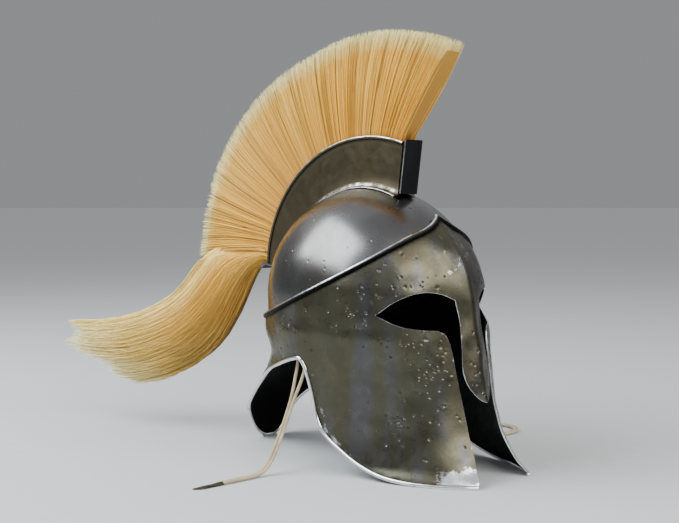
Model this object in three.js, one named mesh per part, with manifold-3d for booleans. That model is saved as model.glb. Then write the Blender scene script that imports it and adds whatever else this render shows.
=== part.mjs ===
// A crested Greek helmet of dark sheet metal, standing on its two cheek tips and its neck guard.
//
// Millimetres, +Z up. The helmet faces -Y and its wearer's left is +X. The origin is on the surface
// that it stands on, under the middle of the helmet's box, cords left out.
//
// The skull is a plain bowl. The mask below it, with brow, nose guard, cheek guards and neck guard,
// is one plate, drawn here as a flat pattern: s runs round the head from the middle of the brow,
// 110 mm to a radian, and z is the height. onMask() wraps the pattern round the head.
import * as THREE from "three";
import { mergeVertices } from "three/addons/utils/BufferGeometryUtils.js";
import Module from "manifold-3d";

const wasm = await Module();
wasm.setup();

// ---- driving dimensions ----
const WALL = 1.6; // sheet metal of the skull and the mask
const GAP = 0.6; // between the skull and the mask that overlaps it
const FIT = 0.4; // between other neighbours
const PATTERN_RADIUS = 110; // millimetres of pattern to a radian round the head
const HALF_TURN = Math.PI * PATTERN_RADIUS;

const SKULL = { side: 102, front: 121, rear: 122, rise: 115, centre: 175 };
const HELMET_Y = -131; // from the origin to the skull's axis
const OVERLAP = 12; // of the skull inside the mask's top edge

// How far the mask's inner face stands off the skull's own half axes, by height.
const MASK_SECTIONS = [
  { z: -40, side: -6, front: 74, rear: 43 },
  { z: 0, side: -6, front: 74, rear: 43 },
  { z: 15, side: -9, front: 58, rear: 48 },
  { z: 40, side: -11, front: 40, rear: 50 },
  { z: 60, side: -10.5, front: 32, rear: 37 },
  { z: 80, side: -9, front: 26, rear: 19 },
  { z: 100, side: -6.4, front: 22, rear: 2 },
  { z: 115, side: -4, front: 19, rear: -5 },
  { z: 138, side: 0.9, front: 14.5, rear: 0.9 },
  { z: 150, side: 1, front: 12, rear: 1 },
  { z: 175, side: GAP, front: 8.5, rear: GAP },
  { z: 205, side: GAP, front: 6, rear: GAP },
  { z: 245, side: GAP, front: 2, rear: GAP },
  { z: 290, side: GAP, front: GAP, rear: GAP },
];
const KEEL = { height: 7, halfWidth: 38, fadeFrom: 190, fadeTo: 265, left: 0.45 };

// The mask's top edge: low at the nape, high over the brow, with a soft point in the middle.
const RIDGE = { nape: 150, brow: 250, power: 1.6, peak: 10, peakHalfWidth: 40 };
const RIDGE_BEAD = {
  tall: 6,
  proud: 2.6,
  rows: [
    { down: 1, out: 0 },
    { down: 0.83, out: 0.8 },
    { down: 0.5, out: 1 },
    { down: 0.17, out: 0.8 },
    { down: 0, out: 0 },
  ],
};
const ROUND = 48; // facets round the head
// The mask's rows of facets, as shares of the height up to the skull's edge.
const MASK_ROWS = [0, 0.08, 0.19, 0.32, 0.47, 0.62, 0.76, 0.89, 1];
const SKULL_ROWS = 7;
const CUT = { reach: 14, below: 12 }; // cutters reach this far off the plate and under the surface

const NOSE = [
  { z: 76, half: 0 },
  { z: 79, half: 7 },
  { z: 86, half: 14 },
  { z: 96, half: 20 },
  { z: 108, half: 22 },
  { z: 130, half: 19 },
  { z: 155, half: 17 },
  { z: 177, half: 20 },
];
const EYE_TOP = [
  { s: 20, z: 177 },
  { s: 34, z: 183 },
  { s: 55, z: 185 },
  { s: 78, z: 178 },
  { s: 100, z: 163 },
];
const EYE_BOTTOM = [
  { s: 100, z: 163 },
  { s: 80, z: 153 },
  { s: 60, z: 149 },
  { s: 42, z: 148 },
];
const CHEEK_FRONT = [
  { s: 42, z: 148 },
  { s: 34.5, z: 144 },
  { s: 31, z: 134 },
  { s: 30, z: 105 },
  { s: 29, z: 70 },
  { s: 32, z: 35 },
  { s: 40, z: 12 },
  { s: 48, z: 0 },
];
// The lower edge, from the cheek tip back to the notch behind the ear and down to the neck guard's rim.
const HEM = [
  { s: 48, z: 0 },
  { s: 62, z: 0.8 },
  { s: 84, z: 1.5 },
  { s: 105, z: 2.8 },
  { s: 119, z: 6 },
  { s: 132, z: 13.5 },
  { s: 146, z: 26 },
  { s: 156, z: 36 },
  { s: 163, z: 46 },
  { s: 166.5, z: 58 },
  { s: 168.5, z: 72 },
  { s: 170.5, z: 86 },
  { s: 172.5, z: 97 },
  { s: 175.5, z: 107 },
  { s: 181, z: 114.5 },
  { s: 193, z: 113 },
  { s: 208, z: 108.5 },
  { s: 222, z: 103.5 },
  { s: 240, z: 97 },
  { s: 256, z: 88 },
  { s: 272, z: 74 },
  { s: 288, z: 54 },
  { s: 304, z: 33 },
  { s: 318, z: 15 },
  { s: 332, z: 4.5 },
  { s: HALF_TURN, z: 0 },
];
const HEM_BEAD = 2.2; // radius of the rolled lower edge
const HEM_FLAT = 1.4; // height of the rolled edge's middle where it stands on the surface

const CREST = {
  halfWidth: 12, // outside of the side plates
  plate: 1.5,
  footFrom: -23, // degrees from upright, front negative
  footTo: 80,
  rimFrom: -18.5,
  rimTo: 79,
  frontHeight: 55,
  rearHeight: 36,
  sink: 2.2, // how late the rim comes down to its rear height
  bead: 2, // radius of the rolled rim
  beadAt: 11.7, // its middle, from the middle plane
  flange: { front: 6, rear: 3, thick: 1, rootThick: 1.4, off: 0.7 },
  steps: 15,
};
const FRONT_PLATE = { thick: 2, above: 2.5, below: 1.5, overhang: 1.2, dish: 1.2 };
// The plate that closes the box behind and runs out as a lip under the tail.
const BACK_PLATE = [
  { back: 121.6, z: 193.4, half: 12 },
  { back: 142, z: 200, half: 12 },
  { back: 155.5, z: 203.4, half: 12.5 },
  { back: 162, z: 203.5, half: 12 },
  { back: 167, z: 201.5, half: 11 },
  { back: 171, z: 198, half: 9 },
];
const BACK_PLATE_THICK = 1.6;

const HAIR = {
  locks: 20,
  rooted: 20, // depth of the roots below the box's rim
  lengthFront: 118,
  lengthTop: 106,
  lengthRear: 130,
  topAt: 0.4, // share of the rim where the crest is shortest
  leanForward: 20, // extra lean of the front locks, degrees
  rearDroop: 15, // extra lean of the rear locks
  droopFrom: 0.5,
  firstLock: 0.028, // share of the rim where the crest starts, clear of the front plate
  lastLock: 0.93, // and where it ends; the tail fills the rest
  uneven: 2.5, // every other lock is this much longer or shorter
  lap: 0.03, // of a lock over its neighbours, as a share of its width
  rootHalf: 9.6,
  midHalf: 15,
  tipHalf: 9,
};
// Across the fan, a lock swells from the rim to its middle and draws in at its tip.
const LOCK = { neck: 3, middle: 0.6, shoulder: 0.9, tipFrom: 0.2, tipTo: 0.8, step: 1 };
const BED = { under: 6, over: 4 }; // the backing under the locks, round the depth of their roots

// The tail's lower and upper edges in the middle plane and its half width: back is behind the
// skull's axis, and at is the share of the way to the tip.
const TAIL_ROWS = [
  { at: 0, lowBack: 140, lowZ: 201.6, highBack: 140, highZ: 216.2, wide: 8.5 },
  { at: 0.04, lowBack: 157, lowZ: 206.2, highBack: 157, highZ: 221.4, wide: 9 },
  { at: 0.1, lowBack: 173, lowZ: 204.4, highBack: 180, highZ: 222.4, wide: 10.5 },
  { at: 0.16, lowBack: 187, lowZ: 190.8, highBack: 204, highZ: 223, wide: 12.5 },
  { at: 0.22, lowBack: 198.7, lowZ: 172.3, highBack: 228, highZ: 222.6, wide: 14 },
  { at: 0.28, lowBack: 209, lowZ: 153.5, highBack: 246, highZ: 218.8, wide: 15 },
  { at: 0.34, lowBack: 220, lowZ: 134.9, highBack: 257.5, highZ: 209, wide: 15.5 },
  { at: 0.4, lowBack: 231.3, lowZ: 117.3, highBack: 266.5, highZ: 196, wide: 15.5 },
  { at: 0.46, lowBack: 242.4, lowZ: 102.2, highBack: 275.4, highZ: 181, wide: 15.5 },
  { at: 0.52, lowBack: 253.3, lowZ: 90.9, highBack: 285, highZ: 167, wide: 15 },
  { at: 0.58, lowBack: 265.7, lowZ: 78.3, highBack: 298, highZ: 155, wide: 15 },
  { at: 0.64, lowBack: 279.1, lowZ: 69.4, highBack: 315, highZ: 145, wide: 14.5 },
  { at: 0.7, lowBack: 294.8, lowZ: 60.3, highBack: 334, highZ: 136.6, wide: 14 },
  { at: 0.77, lowBack: 317.5, lowZ: 53.2, highBack: 357, highZ: 130.6, wide: 13 },
  { at: 0.84, lowBack: 341, lowZ: 50.5, highBack: 381, highZ: 127.4, wide: 12 },
  { at: 0.92, lowBack: 368, lowZ: 54, highBack: 410, highZ: 127, wide: 10 },
  { at: 1, lowBack: 405, lowZ: 60, highBack: 454, highZ: 122, wide: 7 },
];
// How far the tail swings towards the wearer's right.
const TAIL_SWAY = [
  { back: 205, side: 0 },
  { back: 228, side: -4 },
  { back: 246, side: -12 },
  { back: 266, side: -26 },
  { back: 291, side: -44 },
  { back: 318, side: -60 },
  { back: 358, side: -82 },
  { back: 405, side: -98 },
  { back: 440, side: -102.5 },
  { back: 460, side: -103.5 },
];
const TAIL = { sides: 6, rows: 10, taperFrom: 0.72, taperTo: 0.12 };
// Each lock's place across the tail (up and out, from -1 to 1), its half sizes as shares of the
// tail's, and its share of the length.
const TAIL_LOCKS = [
  { up: 0, out: 0, tall: 0.86, thick: 0.86, reach: 0.96 },
  { up: 0.76, out: 0.1, tall: 0.24, thick: 0.5, reach: 0.97 },
  { up: 0.42, out: -0.55, tall: 0.22, thick: 0.42, reach: 1 },
  { up: 0.3, out: 0.55, tall: 0.22, thick: 0.42, reach: 0.93 },
  { up: -0.2, out: -0.55, tall: 0.22, thick: 0.42, reach: 0.94 },
  { up: -0.34, out: 0.55, tall: 0.22, thick: 0.42, reach: 0.89 },
  { up: -0.76, out: -0.1, tall: 0.24, thick: 0.5, reach: 0.85 },
];

const STRAND_RADIUS = 1.7;
const STRAND_SIDES = 8;
const STRAND_STEP = 9.5; // length of a straight piece of the strand's tube
const STRANDS_APART = 2; // each strand's middle from the line between them, where they run together
// The chin ties, from the staple to the leather end: helmet coordinates of the two strands' middle
// line, and each strand's own distance from it.
const RIGHT_TIE = [
  { side: -91.5, front: -13, z: 117.4, apart: 5.6 },
  { side: -91.8, front: -13, z: 110, apart: 6.6 },
  { side: -92.8, front: -13.2, z: 102, apart: 7 },
  { side: -95, front: -13.6, z: 94, apart: 6 },
  { side: -98.6, front: -14, z: 84, apart: 4.2 },
  { side: -103, front: -14.4, z: 73, apart: 2.6 },
  { side: -108.4, front: -14.6, z: 60.5, apart: STRANDS_APART },
  { side: -114, front: -14.6, z: 48.5, apart: STRANDS_APART },
  { side: -120, front: -14.4, z: 37, apart: STRANDS_APART },
  { side: -126.6, front: -14, z: 25.5, apart: STRANDS_APART },
  { side: -134, front: -13.5, z: 14.5, apart: STRANDS_APART },
  { side: -145, front: -12.8, z: 5.6, apart: STRANDS_APART },
  { side: -156, front: -12.3, z: 2.7, apart: STRANDS_APART },
  { side: -167, front: -12, z: 2, apart: STRANDS_APART },
  { side: -177, front: -12, z: 2, apart: STRANDS_APART },
  { side: -187, front: -12.3, z: 2, apart: STRANDS_APART },
  { side: -197, front: -13, z: 2, apart: STRANDS_APART },
];
const LEFT_TIE = [
  { side: 91.5, front: -13, z: 117.4, apart: 5.6 },
  { side: 92, front: -13, z: 108, apart: 6.4 },
  { side: 94.5, front: -13.4, z: 96, apart: 5.6 },
  { side: 100, front: -13, z: 80, apart: 3.6 },
  { side: 107, front: -10.5, z: 63, apart: STRANDS_APART },
  { side: 115.5, front: -7, z: 46, apart: STRANDS_APART },
  { side: 125.5, front: -2, z: 29, apart: STRANDS_APART },
  { side: 137, front: 4.5, z: 14.5, apart: STRANDS_APART },
  { side: 150, front: 12.5, z: 5.5, apart: STRANDS_APART },
  { side: 163, front: 20, z: 2.6, apart: STRANDS_APART },
  { side: 180, front: 28.5, z: 2, apart: STRANDS_APART },
  { side: 198, front: 33, z: 2, apart: STRANDS_APART },
  { side: 216, front: 31, z: 2, apart: STRANDS_APART },
  { side: 230, front: 22, z: 2, apart: STRANDS_APART },
  { side: 237, front: 8, z: 2, apart: STRANDS_APART },
  { side: 238, front: -4, z: 2, apart: STRANDS_APART },
];
const TIE_END = { long: 34, half: 5, thick: 3.4, edge: 0.7, lift: 0.1, widths: [0.72, 1, 0.92, 0.8, 0.45] };
const STAPLE = { s: 185, z: 119, wire: 1.1, half: 9, deep: 4.5, steps: 6 };

// ---- small helpers ----
const rad = THREE.MathUtils.degToRad;
const lerp = THREE.MathUtils.lerp;
const clamp01 = (t) => Math.min(1, Math.max(0, t));
const steps = (count) => Array.from({ length: count + 1 }, (_, i) => i / count);

// A smooth curve through a table's rows: the value of one column at x, by cubic Hermite pieces.
function along(rows, x, xColumn, column) {
  const n = rows.length;
  if (x <= rows[0][xColumn]) return rows[0][column];
  if (x >= rows[n - 1][xColumn]) return rows[n - 1][column];
  let i = 0;
  while (rows[i + 1][xColumn] < x) i++;
  const slope = (j) => {
    const a = rows[Math.max(0, j - 1)];
    const b = rows[Math.min(n - 1, j + 1)];
    return (b[column] - a[column]) / (b[xColumn] - a[xColumn]);
  };
  const [p, q] = [rows[i], rows[i + 1]];
  const h = q[xColumn] - p[xColumn];
  const t = (x - p[xColumn]) / h;
  const [t2, t3] = [t * t, t * t * t];
  return (
    (2 * t3 - 3 * t2 + 1) * p[column] +
    (t3 - 2 * t2 + t) * h * slope(i) +
    (3 * t2 - 2 * t3) * q[column] +
    (t3 - t2) * h * slope(i + 1)
  );
}

// Helmet coordinates (towards the wearer's left, towards the front, up) to the part's frame.
const place = (side, front, z) => new THREE.Vector3(side, HELMET_Y - front, z);

const skullShrink = (z) => {
  const up = Math.max(0, z - SKULL.centre) / SKULL.rise;
  return Math.sqrt(Math.max(0, 1 - up * up));
};

const ridge = (s) => {
  const facing = (1 + Math.cos(s / PATTERN_RADIUS)) / 2;
  const peak = Math.max(0, 1 - Math.abs(s) / RIDGE.peakHalfWidth) ** 2;
  return RIDGE.nape + (RIDGE.brow - RIDGE.nape) * facing ** RIDGE.power + RIDGE.peak * peak;
};

// The mask's inner face at a point of the pattern.
function maskFace(s, z) {
  const phi = s / PATTERN_RADIUS;
  const shrink = skullShrink(z);
  const column = Math.cos(phi) >= 0 ? "front" : "rear";
  const side = SKULL.side * shrink + along(MASK_SECTIONS, z, "z", "side");
  const depth = SKULL[column] * shrink + along(MASK_SECTIONS, z, "z", column);
  const x = side * Math.sin(phi);
  const fade = clamp01((z - KEEL.fadeFrom) / (KEEL.fadeTo - KEEL.fadeFrom));
  const keel =
    column === "front"
      ? KEEL.height * lerp(1, KEEL.left, fade) * Math.max(0, 1 - Math.abs(x) / KEEL.halfWidth) ** 2
      : 0;
  return place(x, depth * Math.cos(phi) + keel, z);
}

// A point of the pattern wrapped round the head and lifted off the mask's inner face.
function onMask(s, z, lift) {
  const step = 0.5;
  const round = maskFace(s + step, z).sub(maskFace(s - step, z));
  const up = maskFace(s, z + step).sub(maskFace(s, z - step));
  const out = new THREE.Vector3().crossVectors(round, up).normalize();
  return maskFace(s, z).addScaledVector(out, lift);
}

// The skull's outer face, sunk by depth: phi turns round the head from the front, z is the height.
function onSkull(phi, z, depth) {
  const shrink = skullShrink(z);
  const long = Math.cos(phi) >= 0 ? SKULL.front : SKULL.rear;
  const [x, front] = [SKULL.side * shrink * Math.sin(phi), long * shrink * Math.cos(phi)];
  const up = Math.max(0, z - SKULL.centre) / SKULL.rise ** 2;
  const out = new THREE.Vector3(x / SKULL.side ** 2, -front / long ** 2, up).normalize();
  return place(x, front, z).addScaledVector(out, -depth);
}

// ---- solids from rows of points ----
const triangles = (faces, a, b, c, d) => faces.push(a, b, c, a, c, d);

function geometryOf(points, faces) {
  const made = new THREE.BufferGeometry();
  const flat = new Float32Array(points.flatMap((p) => [p.x, p.y, p.z]));
  made.setAttribute("position", new THREE.BufferAttribute(flat, 3));
  made.setIndex(faces);
  return made;
}

function solid(geometry) {
  const bare = geometry.clone();
  for (const name of Object.keys(bare.attributes)) if (name !== "position") bare.deleteAttribute(name);
  const merged = mergeVertices(bare, 1e-4);
  const made = new wasm.Manifold(
    new wasm.Mesh({
      numProp: 3,
      vertProperties: new Float32Array(merged.attributes.position.array),
      triVerts: new Uint32Array(merged.index.array),
    }),
  );
  if (made.volume() >= 0) return made;
  const index = merged.index.array;
  for (let i = 0; i < index.length; i += 3) [index[i], index[i + 1]] = [index[i + 1], index[i]];
  return solid(merged);
}

const joined = (solids) => solids.reduce((all, next) => all.add(next));

// Rings of points, all with the same count, skinned into a closed solid. Round rings close on
// themselves and get flat ends; with loop, the last ring joins the first.
function skinned(rings, loop = false) {
  const n = rings[0].length;
  const points = rings.flat();
  const faces = [];
  const last = loop ? rings.length : rings.length - 1;
  for (let i = 0; i < last; i++)
    for (let j = 0; j < n; j++) {
      const [a, b] = [i * n, ((i + 1) % rings.length) * n];
      triangles(faces, a + j, a + ((j + 1) % n), b + ((j + 1) % n), b + j);
    }
  if (!loop)
    for (let j = 1; j < n - 1; j++) {
      faces.push(0, j + 1, j);
      const end = (rings.length - 1) * n;
      faces.push(end, end + j, end + j + 1);
    }
  return solid(geometryOf(points, faces));
}

const asGeometry = (manifold) => {
  const mesh = manifold.getMesh();
  const made = new THREE.BufferGeometry();
  made.setAttribute("position", new THREE.BufferAttribute(new Float32Array(mesh.vertProperties), 3));
  made.setIndex(new THREE.BufferAttribute(new Uint32Array(mesh.triVerts), 1));
  made.computeVertexNormals();
  return made;
};

// A round bar along a list of points, in as many straight pieces as asked for.
function bar(points, radius, sides = 6, pieces = points.length - 1) {
  const path = new THREE.CatmullRomCurve3(points, false, "centripetal");
  const section = new THREE.Shape();
  for (let i = 0; i < sides; i++) {
    const turn = ((i + 0.5) / sides) * 2 * Math.PI;
    const [x, y] = [radius * Math.cos(turn), radius * Math.sin(turn)];
    if (i) section.lineTo(x, y);
    else section.moveTo(x, y);
  }
  return solid(new THREE.ExtrudeGeometry(section, { steps: pieces, extrudePath: path }));
}

// ---- the mask ----
// The uncut band, from the surface it stands on up to the ridge, with the rolled edge on top.
function maskBand() {
  const rings = [];
  for (let i = 0; i < ROUND; i++) {
    const s = ((2 * i) / ROUND) * HALF_TURN;
    const wrapped = s > HALF_TURN ? s - 2 * HALF_TURN : s;
    const top = ridge(wrapped);
    const heights = MASK_ROWS.map((v) => v * (top - OVERLAP - 2));
    const outer = heights.map((z) => onMask(wrapped, z, WALL));
    const inner = heights.map((z) => onMask(wrapped, z, 0));
    const rolled = RIDGE_BEAD.rows.map(({ down, out }) =>
      onMask(wrapped, top - down * RIDGE_BEAD.tall, WALL + out * RIDGE_BEAD.proud),
    );
    rings.push([...outer, ...rolled, onMask(wrapped, top, 0), ...inner.reverse()]);
  }
  return skinned(rings, true);
}

// Points of a table's smooth curve, evenly spread along the pattern.
function traced(rows, count) {
  const line = new THREE.CatmullRomCurve3(
    rows.map((r) => new THREE.Vector3(r.s, r.z, 0)),
    false,
    "centripetal",
  );
  return line.getSpacedPoints(count).map((p) => ({ s: p.x, z: p.y }));
}

// A cutter through the plate under a closed outline of the pattern. turn mirrors it to the left or right.
function patternCutter(outline, turn) {
  const flat = outline.map((p) => new THREE.Vector2(p.s, p.z));
  if (THREE.ShapeUtils.isClockWise(flat)) return patternCutter([...outline].reverse(), turn);
  const caps = THREE.ShapeUtils.triangulateShape(flat, []);
  const n = outline.length;
  const points = [-CUT.reach, CUT.reach].flatMap((lift) => outline.map((p) => onMask(turn * p.s, p.z, lift)));
  const faces = [];
  for (const [a, b, c] of caps) faces.push(a, c, b, n + a, n + b, n + c);
  for (let i = 0; i < n; i++) triangles(faces, i, (i + 1) % n, n + ((i + 1) % n), n + i);
  return solid(geometryOf(points, faces));
}

// Half of the T-shaped opening: one eye and half of the slot for nose and mouth.
function openingOutline() {
  const nose = traced(NOSE.map((r) => ({ s: r.half, z: r.z })), 12);
  const middle = steps(8).map((t) => ({ s: -1, z: lerp(-CUT.below, NOSE[0].z, t) }));
  return [
    ...middle,
    ...nose,
    ...traced(EYE_TOP, 9).slice(1),
    ...traced(EYE_BOTTOM, 7).slice(1),
    ...traced(CHEEK_FRONT, 14).slice(1),
    { s: HEM[0].s + 4, z: -CUT.below },
  ];
}

const hemLine = traced(HEM, 36);

// Everything below the hem on one side, as a band of cells so that it bends with the plate.
function hemCutter(turn) {
  const line = [{ s: HEM[0].s - 2, z: HEM[0].z }, ...hemLine, { s: HALF_TURN + 2, z: 0 }];
  return skinned(
    line.map((p) => [
      onMask(turn * p.s, p.z, CUT.reach),
      onMask(turn * p.s, -CUT.below, CUT.reach),
      onMask(turn * p.s, -CUT.below, -CUT.reach),
      onMask(turn * p.s, p.z, -CUT.reach),
    ]),
  );
}

const hemBead = (turn) =>
  hemLine.slice(0, -1).map((p) => onMask(turn * p.s, Math.max(p.z, HEM_FLAT), WALL / 2));

function makeMask() {
  const nape = onMask(HALF_TURN, HEM_FLAT, WALL / 2);
  const bead = bar([...hemBead(1), nape, ...hemBead(-1).reverse()], HEM_BEAD);
  const floor = solid(new THREE.BoxGeometry(600, 900, 100).translate(0, 0, -50));
  let mask = maskBand();
  for (const turn of [1, -1])
    mask = mask.subtract(patternCutter(openingOutline(), turn)).subtract(hemCutter(turn));
  return mask.add(bead).subtract(floor);
}

// ---- the skull ----
function makeSkull() {
  const rows = SKULL_ROWS;
  const columns = Array.from({ length: ROUND }, (_, i) => {
    const phi = ((2 * i) / ROUND) * Math.PI;
    const wrapped = phi > Math.PI ? phi - 2 * Math.PI : phi;
    const low = ridge(wrapped * PATTERN_RADIUS) - OVERLAP;
    const from = Math.asin(clamp01((low - SKULL.centre) / SKULL.rise));
    const bowl = (j) => SKULL.centre + SKULL.rise * Math.sin(lerp(from, Math.PI / 2, j / rows));
    return { phi, heights: Array.from({ length: rows }, (_, j) => (j ? bowl(j) : low)) };
  });
  const crown = SKULL.centre + SKULL.rise;
  const points = [place(0, 0, crown), place(0, 0, crown - WALL)];
  const faces = [];
  for (const depth of [0, WALL])
    for (const { phi, heights } of columns) for (const z of heights) points.push(onSkull(phi, z, depth));
  const at = (shell, i, j) => 2 + (shell * ROUND + (i % ROUND)) * rows + j;
  for (let i = 0; i < ROUND; i++) {
    for (let j = 0; j < rows - 1; j++) {
      triangles(faces, at(0, i, j), at(0, i + 1, j), at(0, i + 1, j + 1), at(0, i, j + 1));
      triangles(faces, at(1, i, j), at(1, i, j + 1), at(1, i + 1, j + 1), at(1, i + 1, j));
    }
    faces.push(at(0, i, rows - 1), at(0, i + 1, rows - 1), 0);
    faces.push(at(1, i + 1, rows - 1), at(1, i, rows - 1), 1);
    triangles(faces, at(1, i, 0), at(1, i + 1, 0), at(0, i + 1, 0), at(0, i, 0));
  }
  return solid(geometryOf(points, faces));
}

// ---- the crest box ----
// The skull's profile over the middle: back and z at an angle from upright, lifted off the bowl.
function profile(degrees, lift) {
  const long = degrees < 0 ? SKULL.front : SKULL.rear;
  const [sin, cos] = [Math.sin(rad(degrees)), Math.cos(rad(degrees))];
  const out = new THREE.Vector2(sin / long, cos / SKULL.rise).normalize();
  return new THREE.Vector2(long * sin + out.x * lift, SKULL.centre + SKULL.rise * cos + out.y * lift);
}

const crestHeight = (t) => lerp(CREST.frontHeight, CREST.rearHeight, clamp01(t) ** CREST.sink);
const footAt = (t, lift) => profile(lerp(CREST.footFrom, CREST.footTo, t), lift);
const rimAt = (t, drop) => profile(lerp(CREST.rimFrom, CREST.rimTo, t), crestHeight(t) - drop);
const atSide = (p, x) => place(x, -p.x, p.y);

function makeCrestSide(turn) {
  const [out, into] = [CREST.halfWidth, CREST.halfWidth - CREST.plate];
  const rings = steps(CREST.steps).map((t) => [
    atSide(footAt(t, FIT), turn * into),
    atSide(footAt(t, FIT), turn * out),
    atSide(rimAt(t, CREST.bead), turn * out),
    atSide(rimAt(t, CREST.bead), turn * into),
  ]);
  const bead = bar(
    steps(CREST.steps).map((t) => atSide(rimAt(t, CREST.bead), turn * CREST.beadAt)),
    CREST.bead,
  );
  return joined([skinned(rings), makeFootFlange(turn, (out + into) / 2), bead]);
}

// The flange at a side plate's foot: it lies on the bowl and narrows towards the rear.
function makeFootFlange(turn, root) {
  const { front, rear, thick, rootThick, off } = CREST.flange;
  const fall = (x) => SKULL.rise * (1 - Math.sqrt(1 - (x / SKULL.side) ** 2));
  return skinned(
    steps(CREST.steps).map((t) => {
      const edge = CREST.halfWidth + lerp(front, rear, t);
      const lift = off - fall(edge);
      return [
        atSide(footAt(t, FIT), turn * root),
        atSide(footAt(t, lift), turn * edge),
        atSide(footAt(t, lift + thick), turn * edge),
        atSide(footAt(t, FIT + rootThick), turn * root),
      ];
    }),
  );
}

function makeCrestFront() {
  const half = CREST.halfWidth + FRONT_PLATE.overhang;
  const low = footAt(0, FIT + FRONT_PLATE.below);
  const high = rimAt(0, -FRONT_PLATE.above);
  const run = high.clone().sub(low).normalize();
  const ahead = new THREE.Vector2(-run.y, run.x); // towards the front, square to the plate
  const near = FIT + CREST.bead;
  const rows = steps(4).map((t) => {
    const p = low.clone().lerp(high, t).addScaledVector(ahead, near);
    const q = p.clone().addScaledVector(ahead, FRONT_PLATE.thick);
    const hollow = q.clone().addScaledVector(ahead, -FRONT_PLATE.dish * Math.sin(Math.PI * t));
    return [atSide(p, -half), atSide(p, half), atSide(q, half), atSide(hollow, 0), atSide(q, -half)];
  });
  return skinned(rows);
}

function makeCrestBack() {
  const path = BACK_PLATE.map((r) => new THREE.Vector2(r.back, r.z));
  const rings = BACK_PLATE.map(({ half }, i) => {
    const before = path[Math.max(0, i - 1)];
    const run = path[Math.min(path.length - 1, i + 1)].clone().sub(before).normalize();
    const under = new THREE.Vector2(run.y, -run.x).multiplyScalar(BACK_PLATE_THICK).add(path[i]);
    return [atSide(path[i], -half), atSide(path[i], half), atSide(under, half), atSide(under, -half)];
  });
  return skinned(rings);
}

// ---- the hair ----
function lockLean(t) {
  const degrees = lerp(CREST.rimFrom, CREST.rimTo, t);
  const forward = HAIR.leanForward * ((CREST.rimTo - degrees) / (CREST.rimTo - CREST.rimFrom)) ** 2;
  const droop = clamp01((t - HAIR.droopFrom) / (HAIR.lastLock - HAIR.droopFrom)) ** 2;
  return degrees - forward + HAIR.rearDroop * droop;
}

function lockLength(t) {
  if (t < HAIR.topAt) return lerp(HAIR.lengthFront, HAIR.lengthTop, t / HAIR.topAt);
  return lerp(HAIR.lengthTop, HAIR.lengthRear, (t - HAIR.topAt) / (1 - HAIR.topAt));
}

// A row of points across a lock: its two edges in the fan, on both sides of the middle plane.
const across = (a, b, half) => [atSide(a, -half), atSide(a, half), atSide(b, half), atSide(b, -half)];

function makeCrestHair() {
  const at = (i) => lerp(HAIR.firstLock, HAIR.lastLock, i / HAIR.locks);
  const fanned = (t, distance) => {
    const lean = rad(lockLean(t));
    return rimAt(t, 0).add(new THREE.Vector2(Math.sin(lean), Math.cos(lean)).multiplyScalar(distance));
  };
  const locks = [];
  for (let i = 0; i < HAIR.locks; i++) {
    const [from, to] = [at(i - HAIR.lap), at(i + 1 + HAIR.lap)];
    const odd = i % 2;
    const full = lockLength((from + to) / 2) + (odd ? HAIR.uneven : -HAIR.uneven);
    const [tipFrom, tipTo] = [fanned(from, full), fanned(to, full)];
    const [middle, shoulder] = [full * LOCK.middle, full * LOCK.shoulder];
    const tip = [LOCK.tipFrom, LOCK.tipTo].map((share) => tipFrom.clone().lerp(tipTo, share));
    locks.push(
      skinned([
        across(rimAt(from, HAIR.rooted), rimAt(to, HAIR.rooted), HAIR.rootHalf),
        across(fanned(from, LOCK.neck), fanned(to, LOCK.neck), HAIR.rootHalf),
        across(fanned(from, middle), fanned(to, middle), HAIR.midHalf + odd * LOCK.step),
        across(fanned(from, shoulder), fanned(to, shoulder), HAIR.midHalf - (1 + odd) * LOCK.step),
        across(...tip, HAIR.tipHalf),
      ]),
    );
  }
  const bed = skinned(
    steps(HAIR.locks).map((share) => {
      const t = at(share * HAIR.locks);
      return across(rimAt(t, HAIR.rooted + BED.under), rimAt(t, HAIR.rooted - BED.over), HAIR.rootHalf);
    }),
  );
  return joined([bed, ...locks]);
}

// A place in the tail: t runs to the tip, up from the lower edge (-1) to the upper (1).
function inTail(t, up) {
  const share = (up + 1) / 2;
  const column = (name) => along(TAIL_ROWS, t, "at", name);
  const back = lerp(column("lowBack"), column("highBack"), share);
  return place(along(TAIL_SWAY, back, "back", "side"), -back, lerp(column("lowZ"), column("highZ"), share));
}

function makeCrestTail() {
  const { sides, rows, taperFrom, taperTo } = TAIL;
  const step = 0.01;
  const lockOf = ({ up, out, tall, thick, reach }) => {
    const rings = steps(rows).map((share) => {
      const t = share * reach;
      const taper = lerp(1, taperTo, clamp01((share - taperFrom) / (1 - taperFrom)));
      const over = inTail(t, 1).sub(inTail(t, -1)).divideScalar(2);
      const ahead = inTail(t + step, up).sub(inTail(t - step, up));
      const left = new THREE.Vector3(ahead.y, -ahead.x, 0).setLength(along(TAIL_ROWS, t, "at", "wide"));
      const middle = inTail(t, up).addScaledVector(left, out);
      return Array.from({ length: sides }, (_, i) => {
        const turn = (i / sides) * 2 * Math.PI;
        const [high, wide] = [tall * taper * Math.cos(turn), thick * taper * Math.sin(turn)];
        return middle.clone().addScaledVector(over, high).addScaledVector(left, wide);
      });
    });
    return skinned(rings);
  };
  return joined(TAIL_LOCKS.map(lockOf));
}

// ---- the chin ties ----
// The middle line of the strand on one hand of the tie.
function strandPath(rows, hand) {
  return rows.map((r, i) => {
    const a = rows[Math.max(0, i - 1)];
    const b = rows[Math.min(rows.length - 1, i + 1)];
    const [side, front] = [b.side - a.side, b.front - a.front];
    const shift = (hand * r.apart) / Math.hypot(side, front);
    return place(r.side - shift * front, r.front + shift * side, r.z);
  });
}

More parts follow.
